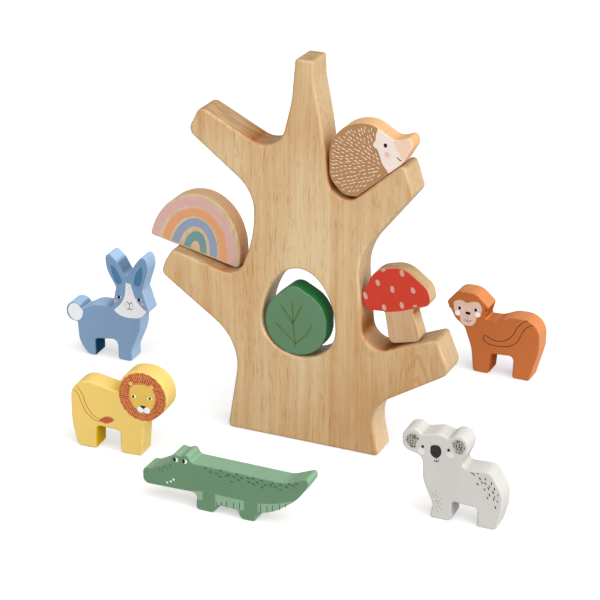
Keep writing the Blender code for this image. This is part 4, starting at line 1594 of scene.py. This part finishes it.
@dataclass
class Lion(Toy):
    """The lion, in front and left."""

    name: str = "lion"
    width: float = 0.0686
    height: float = 0.0601
    place: Place = Place((-101.5, -66.4, 0.0), turn=3.8)
    finish: Finish = Paint("lion_paint", (212, 180, 99), (226, 195, 113), crook_shade=(0.84, 0.72, 0.08))
    rows: Rows = (
        (0.006, 0.720, 0.025), (0.006, 1.000, 0.248), (0.503, 1.000, 0.281), (0.501, 0.606, 0.235),
        (0.250, 0.358, 0.050), (0.224, 0.000, 0.040), (0.013, 0.000, 0.040), (0.007, 0.261, 0.050),
        (-0.235, 0.278, 0.044), (-0.243, 0.000, 0.025), (-0.441, 0.000, 0.084), (-0.493, 0.293, 0.670),
        (-0.494, 0.794, 0.214), (-0.279, 0.792, 0.235),
    )
    tuft_start: Pair = (-13.0, 21.0)
    tuft_dash: Triple = (1.1, 0.35, 50)
    tuft_count: int = 10
    tuft_rows: int = 3
    tuft_row_gap: float = 0.9
    tuft_step: Pair = (0.85, 0.05)
    mane_middle: Pair = (17.0, 42.8)
    mane_radii: Pair = (16.0, 16.5)
    mane_waves: int = 11
    mane_wave: float = 0.04
    mane_start: float = 0.5
    mane_rings: tuple[tuple[float, int], ...] = ((0.95, 66), (0.80, 58), (0.67, 50))
    ring_chance: float = 0.02
    dash_size: Pair = (2.0, 0.55)
    face: Points = ((8.6, 47.9), (10.8, 50.0), (14.3, 51.1), (17.8, 51.5), (21.3, 51.0), (23.7, 49.7), (25.3, 47.1),
                    (25.8, 43.7), (25.5, 40.1), (24.0, 36.3), (22.1, 33.1), (19.0, 31.6), (15.8, 31.7), (13.4, 33.0),
                    (11.3, 34.8), (9.7, 37.4), (8.4, 41.4), (8.2, 44.9))
    tail: tuple[Points, ...] = (
        ((-31.1, 40.3), (-28.6, 37.3), (-26.9, 33.3), (-25.3, 29.3), (-23.4, 25.6), (-20.6, 22.9),
         (-17.8, 20.8), (-14.3, 20.0)),
        ((-29.3, 42.9), (-27.0, 40.1), (-25.0, 36.5), (-23.8, 32.4), (-21.8, 28.4), (-19.4, 25.2),
         (-16.7, 22.8), (-13.5, 21.6)),
    )
    tuft: Points = ((-14.5, 20.4), (-11.3, 23.4), (-8.4, 24.6), (-5.6, 24.4), (-3.5, 22.6), (-7.2, 20.1), (-9.7, 19.3),
                    (-12.2, 20.0))
    brows: tuple[Points, ...] = (((16.4, 46.4), (17.4, 47.3), (18.4, 46.5)), ((17.9, 45.4), (18.1, 41.0), (17.6, 37.4)))

    def dress(self, block: Block) -> None:
        """Print the mane, the face and the tail.

        Args:
            block: The block to print on.
        """
        block.wrap("mane_print", self.mane(), Ink("mane_orange", (193, 113, 66), patchy=0.06), share=0.5)
        block.dots("mane_dash_prints", self.dashes(), Ink("mane_brown", (112, 38, 20)), 1,
                   Stamp(roundness=0.7, sides=8, turn=14, size=0.3, seed=5))
        block.patch("face_print", self.face, Ink("face_gold", (202, 168, 80)), 1)
        block.dots("ear_prints", [(9.2, 51.1, 2.7, 2.5, 30), (23.6, 50.8, 2.8, 2.4, -30)],
                   Ink("ear_gold", (226, 190, 98)), 2)
        block.dots("inner_ear_prints", [(9.2, 51.1, 1.2, 1.1, 30), (23.6, 50.8, 1.3, 1.1, -30)],
                   Ink("inner_ear_tan", (188, 122, 62)), 3)
        block.dots("muzzle_prints", [(15.7, 33.9, 4.9, 4.5, 10), (20.0, 33.8, 4.6, 4.4, -10)], WHITE, 2)
        block.patch("nose_print", ((15.0, 36.4), (17.2, 36.8), (19.4, 36.5), (18.4, 35.2), (17.5, 34.5), (16.2, 35.3)),
                    Ink("nose_brown", (46, 38, 32)), 3)
        block.dots("eye_white_prints", [(11.2, 42.4, 3.0, 2.1, 0), (22.3, 42.6, 3.4, 2.0, 0)],
                   Ink("eye_cream", (240, 228, 184)), 2)
        block.dots("eye_prints", [(10.8, 42.3, 1.6, 2.0, 0), (22.3, 42.6, 1.7, 1.9, 0)], BLACK, 3)
        block.lines("brow_prints", self.brows, 0.5, Ink("brow_orange", (214, 168, 84)), 2, taper=0.6)
        block.lines("tail_prints", self.tail, 0.5, Ink("tail_brown", (164, 88, 40)), taper=0.7)
        block.patch("tuft_print", self.tuft, Ink("tuft_rust", (168, 84, 53)))
        (x, z), (along, up) = self.tuft_start, self.tuft_step
        dashes = [(x + along * k, z + self.tuft_row_gap * (k % self.tuft_rows) + up * k, *self.tuft_dash)
                  for k in range(self.tuft_count)]
        block.dots("tuft_dash_prints", dashes, Ink("tuft_brown", (134, 50, 34)), 1,
                   Stamp(roundness=0.7, sides=8, turn=10, size=0.2, seed=7))

    def mane(self) -> Points:
        """The mane's wavy edge.

        Returns:
            Its points.
        """
        x, z = self.mane_middle
        wide, tall = self.mane_radii
        edge = []
        for step in range(MANE_STEPS):
            angle = math.tau * step / MANE_STEPS
            wave = 1 + self.mane_wave * abs(math.sin(angle * self.mane_waves + self.mane_start))
            edge.append((x + wide * wave * math.cos(angle), z + tall * wave * math.sin(angle)))
        return edge

    def dashes(self) -> Marks:
        """Rings of short dashes that point away from the face.

        Returns:
            The dashes.
        """
        chance = np.random.default_rng(3)
        x, z = self.mane_middle
        wide, tall = self.mane_radii
        made = []
        for row, (share, count) in enumerate(self.mane_rings):
            for step in range(count):
                angle = math.tau * (step + 0.5 * (row % 2)) / count
                near = share + chance.uniform(-self.ring_chance, self.ring_chance)
                along, up = wide * near * math.cos(angle), tall * near * math.sin(angle)
                made.append((x + along, z + up, *self.dash_size, math.degrees(math.atan2(up, along))))
        return made


@dataclass
class Crocodile(Toy):
    """The crocodile, in front."""

    name: str = "crocodile"
    width: float = 0.1125
    height: float = 0.0366
    place: Place = Place((-2.4, -114.1, 0.0))
    finish: Finish = Paint("crocodile_paint", (92, 124, 95), (124, 158, 130), crook_shade=(0.3, 0.6, 0.34))
    rows: Rows = (
        (-0.501, 0.601, 0.107), (-0.449, 0.596, 0.164), (-0.319, 0.817, 0.033), (-0.315, 0.973, 0.066),
        (-0.265, 0.940, 0.055), (-0.224, 1.008, 0.071), (-0.198, 0.861, 0.071), (0.364, 0.852, 0.492),
        (0.498, 1.025, 0.052), (0.500, 0.888, 0.164), (0.431, 0.571, 0.820), (0.298, 0.268, 0.820),
        (0.192, 0.169, 0.027), (0.183, 0.000, 0.071), (0.100, 0.000, 0.077), (0.074, 0.158, 0.066),
        (-0.042, 0.161, 0.041), (-0.068, 0.000, 0.082), (-0.176, 0.000, 0.066), (-0.165, 0.311, 0.096),
        (-0.500, 0.287, 0.115),
    )
    chevrons: Points = (
        (-12.4, 30.2), (-9.1, 28.2), (-5.0, 28.0), (-2.3, 30.4), (-2.9, 26.5), (3.1, 29.1), (1.6, 27.8), (6.8, 28.2),
        (9.0, 30.4), (4.9, 24.6), (9.9, 26.8), (12.0, 28.7), (16.3, 29.6), (19.6, 30.0), (16.7, 26.8), (19.9, 26.2),
        (22.6, 27.8), (25.3, 29.9), (27.6, 27.3), (25.8, 25.3), (31.3, 27.8), (32.7, 29.5), (34.6, 27.5), (37.9, 29.7),
        (37.9, 26.3), (41.8, 29.1), (43.5, 31.3), (46.5, 31.0), (48.4, 32.9),
    )
    chevron: Marks = ((-0.45, 0.0, 1.5, 0.55, 50), (0.5, -0.1, 1.8, 0.55, -48))
    stripes: Rows = (
        (-5.5, 8.2, 5.6), (-1.9, 9.0, 6.3), (1.6, 10.5, 6.2), (6.3, 10.5, 6.0), (10.3, 11.1, 6.2), (24.5, 13.0, 7.4),
        (28.8, 13.2, 8.4), (32.5, 14.4, 10.6), (37.2, 16.1, 12.3), (41.2, 17.3, 14.9),
    )
    teeth: Marks = ((-39.1, 14.4, 1.4, 1.2, 20), (-36.6, 15.7, 1.4, 1.3, 20), (-34.6, 17.4, 1.5, 1.5, 0))
    mouth: Points = ((-54.0, 12.3), (-49.5, 12.7), (-45.6, 13.1), (-40.0, 14.0), (-36.4, 15.7), (-33.9, 18.9))
    specks: Marks = ((-44.2, 22.3, 1.7, 0.5, 70), (-42.2, 21.9, 1.5, 0.5, -60), (-40.9, 24.6, 1.6, 0.5, 60),
                     (-38.8, 24.2, 1.6, 0.5, -60), (-36.6, 26.6, 1.5, 0.5, 60))

    def dress(self, block: Block) -> None:
        """Print the belly, its stripes, the scales and the face.

        Args:
            block: The block to print on.
        """
        belly = Ink("belly_green", (125, 153, 125))
        block.wrap("throat_print", ((-23, 12.2), (-14.9, 13.5), (-14.9, 7.2), (-26, 7.2)), belly)
        block.wrap("belly_print", ((-6.2, 13.4), (13.3, 13.2), (13.3, 6.8), (10.6, 6.0), (8.5, 2), (-4, 2),
                                   (-6.2, 4.8)), belly)
        block.wrap("tail_print", ((22.5, 2), (22.5, 13.4), (27.5, 14.3), (34.2, 15.8), (40.9, 18.1), (48.8, 21.6),
                                  (56, 25.5), (60, 20), (45, 2)), belly)
        dark = Ink("scale_green", (32, 62, 40))
        block.lines("stripe_prints", [((x, top), (x, low)) for x, top, low in self.stripes], 0.55, dark, 1, taper=0.8)
        marks = [(x + along, z + up, *size) for x, z in self.chevrons for along, up, *size in self.chevron]
        block.dots("scale_prints", marks, dark, 0, Stamp(roundness=0.7, sides=8, turn=5, size=0.1, seed=6))
        block.dots("eye_white_prints", [(-32.8, 31.5, 3.2, 3.0, 0), (-26.6, 31.6, 3.2, 3.0, 0)], WHITE)
        block.dots("eye_prints", [(-33.5, 31.5, 1.9, 2.8, 0), (-27.3, 31.7, 1.8, 2.8, 0)], BLACK, 1)
        block.dots("tooth_prints", self.teeth, WHITE, 1)
        block.lines("mouth_print", [self.mouth], 0.4, Ink("speck_green", (84, 118, 88)))
        block.dots("snout_speck_prints", self.specks, dark, 0, Stamp(roundness=0.7, sides=8))


@dataclass
class Monkey(Toy):
    """The monkey, behind and right."""

    name: str = "monkey"
    width: float = 0.069
    height: float = 0.0591
    place: Place = Place((78.7, 144.2, 0.0), turn=-0.5)
    finish: Finish = Paint("monkey_paint", (186, 103, 52), (202, 127, 77), crook_shade=(0.62, 0.37, 0.22))
    rows: Rows = (
        (-0.506, 0.834, 0.041), (-0.380, 1.000, 0.135), (-0.200, 1.000, 0.186), (-0.052, 0.849, 0.044),
        (-0.093, 0.689, 0.030), (0.043, 0.697, 0.203), (0.196, 0.777, 0.237), (0.491, 0.778, 0.220),
        (0.493, 0.406, 0.508), (0.397, 0.000, 0.044), (0.216, 0.000, 0.030), (0.223, 0.281, 0.058),
        (-0.010, 0.261, 0.020), (-0.028, 0.000, 0.044), (-0.206, 0.000, 0.047), (-0.228, 0.288, 0.677),
        (-0.307, 0.545, 0.102), (-0.414, 0.643, 0.169), (-0.458, 0.743, 0.051),
    )
    face: Points = (
        (-29.5, 49.8), (-28.0, 51.2), (-25.8, 52.0), (-23.6, 52.2), (-21.4, 51.3), (-19.5, 50.9), (-17.7, 51.6),
        (-15.5, 52.5), (-13.3, 52.7), (-11.1, 52.4), (-9.6, 50.4), (-8.8, 48.3), (-9.0, 46.0), (-9.7, 43.6),
        (-10.7, 41.9), (-12.2, 41.2), (-12.7, 40.0), (-13.2, 37.7), (-14.6, 35.5), (-16.8, 34.1), (-19.3, 33.8),
        (-21.9, 34.1), (-23.9, 35.7), (-24.7, 37.8), (-24.9, 40.1), (-26.6, 40.5), (-28.1, 41.5), (-28.9, 43.8),
        (-29.4, 46.8),
    )
    tail: Points = (
        (24.9, 45.5), (22.0, 44.0), (19.3, 41.4), (17.2, 38.4), (15.9, 35.5), (14.5, 33.0), (12.4, 30.3), (9.6, 28.1),
        (6.7, 26.8), (3.1, 26.3), (-0.6, 26.7), (-3.6, 28.1), (-5.5, 28.8), (-6.6, 28.3), (-7.0, 26.6), (-6.5, 25.2),
        (-4.9, 23.8), (-2.7, 22.9), (0.3, 22.5), (3.9, 22.4), (7.6, 22.8), (11.2, 23.7), (14.1, 25.0), (16.2, 26.5),
        (18.3, 29.2), (19.6, 32.1), (21.0, 35.0), (22.3, 37.9), (24.4, 40.3), (26.5, 41.8), (28.6, 42.8),
    )
    ears: tuple[Points, ...] = (
        ((-33.0, 47.4), (-32.6, 45.9), (-31.8, 44.9)), ((-6.6, 49.2), (-5.5, 48.2), (-5.9, 46.4)),
    )

    def dress(self, block: Block) -> None:
        """Print the face, the ears and the tail.

        Args:
            block: The block to print on.
        """
        block.patch("face_print", self.face, Ink("face_pink", (222, 188, 173)))
        block.dots("cheek_prints", [(-26.6, 42.1, 3.9, 3.8, 0), (-11.7, 43.4, 4.1, 3.6, 0)],
                   Ink("cheek_cream", (248, 239, 225)), 1)
        block.dots("eye_white_prints", [(-24.4, 46.1, 3.6, 2.3, 0), (-13.3, 46.7, 4.1, 2.3, 0)], WHITE, 1)
        block.dots("eye_prints", [(-25.1, 46.1, 2.2, 2.4, 0), (-13.3, 46.7, 2.2, 2.4, 0)], BLACK, 2)
        block.dots("nose_print", [(-18.9, 43.3, 3.9, 2.3, 0)], BLACK, 1)
        brown = Ink("line_brown", (94, 50, 26))
        block.lines("mouth_print", [((-18.9, 42.7), (-18.8, 37.6))], 0.5, Ink("mouth_rose", (176, 134, 126)), 1,
                    taper=0.8)
        block.lines("smile_print", [((-21.4, 38.4), (-20.2, 37.4), (-18.7, 37.0), (-17.4, 37.4), (-16.4, 38.5))], 0.5,
                    Ink("smile_brown", (112, 84, 84)), 2, taper=0.7)
        block.lines("ear_prints", self.ears, 0.6, brown, taper=0.7)
        block.lines("tail_print", [self.tail], 0.6, brown, taper=0.9)


@dataclass
class Koala(Toy):
    """The koala, in front and right."""

    name: str = "koala"
    width: float = 0.065
    height: float = 0.0589
    place: Place = Place((126.6, -64.1, 0.0), turn=0.8)
    finish: Finish = Paint("koala_paint", (186, 182, 178), (196, 194, 188), crook_shade=(0.85, 0.84, 0.83))
    rows: Rows = (
        (-0.502, 0.990, 0.110), (-0.369, 0.988, 0.059), (-0.311, 0.939, 0.042), (-0.148, 0.985, 0.136),
        (-0.045, 0.949, 0.042), (0.012, 1.000, 0.068), (0.149, 1.000, 0.112), (0.145, 0.825, 0.102),
        (0.068, 0.638, 0.054), (0.377, 0.655, 0.119), (0.498, 0.416, 0.238), (0.497, 0.238, 0.306),
        (0.442, 0.000, 0.054), (0.257, 0.000, 0.027), (0.257, 0.216, 0.044), (0.005, 0.231, 0.037),
        (-0.003, 0.153, 0.170), (0.014, 0.000, 0.061), (-0.214, 0.000, 0.034), (-0.185, 0.161, 0.102),
        (-0.289, 0.418, 0.306), (-0.298, 0.689, 0.093), (-0.500, 0.747, 0.098),
    )
    ears: tuple[Points, ...] = (
        ((-30.2, 51.6), (-30.4, 49.6), (-29.5, 47.7), (-27.8, 46.0), (-26.2, 45.0), (-23.9, 45.5), (-23.6, 46.9),
         (-23.4, 49.0), (-22.7, 50.4), (-21.9, 52.3), (-23.1, 54.1), (-24.8, 55.1), (-26.7, 55.1), (-28.6, 54.0)),
        ((-0.7, 53.6), (-0.3, 51.6), (0.7, 49.8), (1.4, 47.9), (2.7, 46.9), (4.6, 46.6), (6.5, 48.0), (7.6, 50.2),
         (7.6, 52.6), (6.6, 54.7), (5.0, 56.1), (3.0, 56.4), (1.2, 55.8), (-0.1, 54.7)),
    )
    nose: Points = ((-14.4, 46.0), (-14.3, 48.1), (-13.4, 49.4), (-11.5, 50.0), (-9.5, 50.1), (-8.0, 49.0),
                    (-7.5, 47.5), (-7.2, 45.8), (-7.8, 43.7), (-9.0, 42.1), (-10.6, 41.3), (-12.2, 41.7),
                    (-13.5, 42.8), (-14.3, 44.4))
    rump: Points = (
        (12.6, 36.4), (13.9, 35.6), (16.4, 36.8), (17.7, 33.7), (21.2, 34.1), (19.1, 31.3), (16.3, 29.7), (21.3, 31.1),
        (25.1, 31.9), (20.8, 26.9), (23.3, 28.1), (24.0, 29.6), (27.1, 28.6), (26.3, 26.0), (24.1, 23.9), (22.9, 21.6),
        (27.3, 23.2), (26.9, 21.4), (29.5, 25.0), (29.2, 20.5), (28.2, 16.2),
    )
    leg: Points = (
        (-10.0, 18.9), (-12.2, 16.4), (-10.3, 16.1), (-11.2, 14.5), (-8.9, 15.0), (-6.6, 14.1), (-7.9, 12.2),
        (-8.2, 10.7), (-9.5, 12.1), (-9.4, 8.4), (-7.5, 8.8), (-8.7, 5.4), (-6.1, 7.0), (-6.2, 10.8),
    )
    mouth: tuple[Points, ...] = (
        ((-10.4, 41.4), (-10.3, 39.2)), ((-11.9, 40.0), (-11.4, 39.1), (-10.3, 38.9), (-9.3, 39.4), (-8.7, 40.5)),
    )
    rump_drop: float = 0.4
    rump_size: Pair = (1.85, 0.68)
    rump_fan_start: Pair = (12.0, -10.0)
    rump_fan_rate: float = 4.6
    rump_fan_end: float = -80.0
    leg_dash: Triple = (1.35, 0.48, 60)
    speck_gap: Pair = (1.55, 1.7)
    speck_size: Pair = (1.35, 0.66)
    speck_edge: float = 0.45
    speck_shift: float = 0.3
    speck_turn: Pair = (65.0, 20.0)

    def dress(self, block: Block) -> None:
        """Print the ears, the face and the dashes of fur.

        Args:
            block: The block to print on.
        """
        for side, ear in zip(("left", "right"), self.ears):
            block.patch(f"{side}_ear_print", ear, Ink("ear_grey", (152, 147, 139)))
        block.dots("ear_speck_prints", self.specks(), Ink("speck_grey", (26, 24, 22)), 1,
                   Stamp(roundness=0.7, sides=8, turn=25, size=0.3, seed=8))
        block.dots("cheek_prints", [(-20.2, 44.0, 4.4, 4.2, 0), (-1.6, 45.2, 4.2, 4.0, 0)],
                   Ink("cheek_white", (200, 199, 195)))
        block.dots("eye_prints", [(-19.3, 47.4, 1.8, 2.0, 0), (-2.7, 48.3, 1.8, 2.0, 0)], BLACK)
        block.patch("nose_print", self.nose, Ink("nose_charcoal", (37, 36, 35), patchy=0.08))
        block.lines("mouth_print", self.mouth, 0.55, Ink("mouth_grey", (66, 64, 62)), taper=0.8)
        start, turn = self.rump_fan_start
        rump = [(x, z - self.rump_drop, *self.rump_size,
                 max(self.rump_fan_end, turn - self.rump_fan_rate * (x - start))) for x, z in self.rump]
        block.dots("rump_dash_prints", rump, Ink("dash_grey", (34, 33, 32)), 0,
                   Stamp(roundness=0.6, sides=10, turn=14, size=0.2, seed=9))
        block.dots("leg_dash_prints", [(*spot, *self.leg_dash) for spot in self.leg],
                   Ink("dash_pale", (128, 124, 112)), 0, Stamp(roundness=0.6, sides=10, turn=20, size=0.2, seed=10))

    def specks(self) -> Marks:
        """Short specks spread over both ears.

        Returns:
            The specks.
        """
        chance = np.random.default_rng(11)
        turn, sway = self.speck_turn
        made = []
        for ear in self.ears:
            loop = smooth_path(ear, True) / MM
            low, high = loop.min(0), loop.max(0)
            for along in np.arange(low[0], high[0], self.speck_gap[0]):
                for up in np.arange(low[1], high[1], self.speck_gap[1]):
                    spot = np.array((along, up)) + chance.uniform(-self.speck_shift, self.speck_shift, 2)
                    if within(spot, loop) and clearance(spot, loop) > self.speck_edge:
                        made.append((*spot, *self.speck_size, turn + chance.uniform(-sway, sway)))
        return made


# The studio


@dataclass(frozen=True)
class Light:
    """One soft light, by the side that it comes from and its height in degrees."""

    name: str
    side: float
    height: float
    strength: float
    softness: float


@dataclass
class Studio:
    """A white floor, soft lights and the camera."""

    target: Triple = (-0.006372, 0.0, 0.095446)
    azimuth: float = 24.2408
    elevation: float = 23.3767
    distance: float = 1.41484
    lens: float = 132.0
    sensor: float = 36.0
    clips: Pair = (0.1, 30.0)
    sky_turn: Pair = (-0.6, 0.6)
    horizon: Pair = (-0.15, 0.1)
    sky_back: float = 0.45
    sky_front: float = 0.16
    below: float = 0.14
    floor_size: float = 12.0
    floor_depth: float = 0.0001
    floor_roughness: float = 0.9
    floor_gloss: float = 0.1
    floor_white: float = 0.6
    floor_glow: float = 0.44
    lights: tuple[Light, ...] = (
        Light("key_light", 84, 22, 0.64, 90),
        Light("fill_light", 26, 20, 1.15, 130),
        Light("top_light", 40, 68, 0.24, 70),
    )

    @staticmethod
    def way(azimuth: float, elevation: float) -> Vector:
        """The direction from the object towards a place round it."""
        a, e = math.radians(azimuth), math.radians(elevation)
        return Vector((math.sin(a) * math.cos(e), -math.cos(a) * math.cos(e), math.sin(e)))

    def build(self) -> None:
        """Make the studio."""
        bpy.context.scene.view_settings.view_transform = "Standard"
        self.make_floor()
        self.make_world()
        for light in self.lights:
            data = bpy.data.lights.new(light.name, "SUN")
            data.energy, data.angle = light.strength * math.pi, math.radians(light.softness)
            self.put(light.name, data, self.way(light.side, light.height))
        camera = bpy.data.cameras.new("camera")
        camera.lens, camera.sensor_width = self.lens, self.sensor
        camera.clip_start, camera.clip_end = self.clips
        bpy.context.scene.camera = self.put("camera", camera, self.way(self.azimuth, self.elevation))

    def put(self, name: str, data: bpy.types.ID, way: Vector) -> bpy.types.Object:
        """Place a lamp or the camera on a side of the object, looking at it.

        Args:
            name: Its name.
            data: The lamp or the camera.
            way: The direction from the object to it.

        Returns:
            What was placed.
        """
        item = in_scene(name, data)
        item.location = Vector(self.target) + way * self.distance
        item.rotation_euler = (-way).to_track_quat("-Z", "Y").to_euler()
        return item

    def make_floor(self) -> None:
        """The floor, just under the feet, lit from within like a light table."""
        half = self.floor_size / 2
        mesh = bpy.data.meshes.new("floor")
        corners = ((-half, -half), (half, -half), (half, half), (-half, half))
        mesh.from_pydata([(*corner, -self.floor_depth) for corner in corners], [], [(0, 1, 2, 3)])
        floor = in_scene("floor", mesh)
        material = bpy.data.materials.new("floor_white")
        material.use_nodes = True
        shader = material.node_tree.nodes["Principled BSDF"]
        shader.inputs["Base Color"].default_value = (self.floor_white, self.floor_white, self.floor_white, 1)
        shader.inputs["Roughness"].default_value = self.floor_roughness
        shader.inputs["Specular IOR Level"].default_value = self.floor_gloss
        shader.inputs["Emission Color"].default_value = (1, 1, 1, 1)
        shader.inputs["Emission Strength"].default_value = self.floor_glow
        mesh.materials.append(material)
        floor.visible_diffuse = False

    def make_world(self) -> None:
        """A white surround, brighter behind than in front and dim below."""
        world = bpy.data.worlds.new("surround")
        world.use_nodes = True
        graph = Graph(world.node_tree)
        way = graph.split(graph.add("ShaderNodeTexCoord").outputs["Generated"])
        above = graph.ramp(way[1], Ramp(*self.sky_turn, self.sky_front, self.sky_back))
        share = graph.ramp(way[2], Ramp(*self.horizon))
        glow = graph.add("ShaderNodeMix", {0: share, 2: self.below, 3: above}, data_type="FLOAT").outputs[0]
        back = world.node_tree.nodes["Background"]
        back.inputs["Color"].default_value = (1, 1, 1, 1)
        world.node_tree.links.new(glow, back.inputs["Strength"])
        bpy.context.scene.world = world


def clear_startup() -> None:
    """Remove what Blender starts with."""
    for name in ("Cube", "Light", "Camera"):
        item = bpy.data.objects.get(name)
        if item is not None:
            bpy.data.objects.remove(item)


def main() -> None:
    """Build every piece in order."""
    logging.basicConfig(level=logging.INFO, format="%(message)s")
    clear_startup()
    for maker in (Tree, Hedgehog, Rainbow, Mushroom, Leaf, Rabbit, Lion, Crocodile, Monkey, Koala):
        LOG.info("building %s", maker.__name__)
        maker().build()
    Studio().build()


if __name__ == "__main__":
    main()
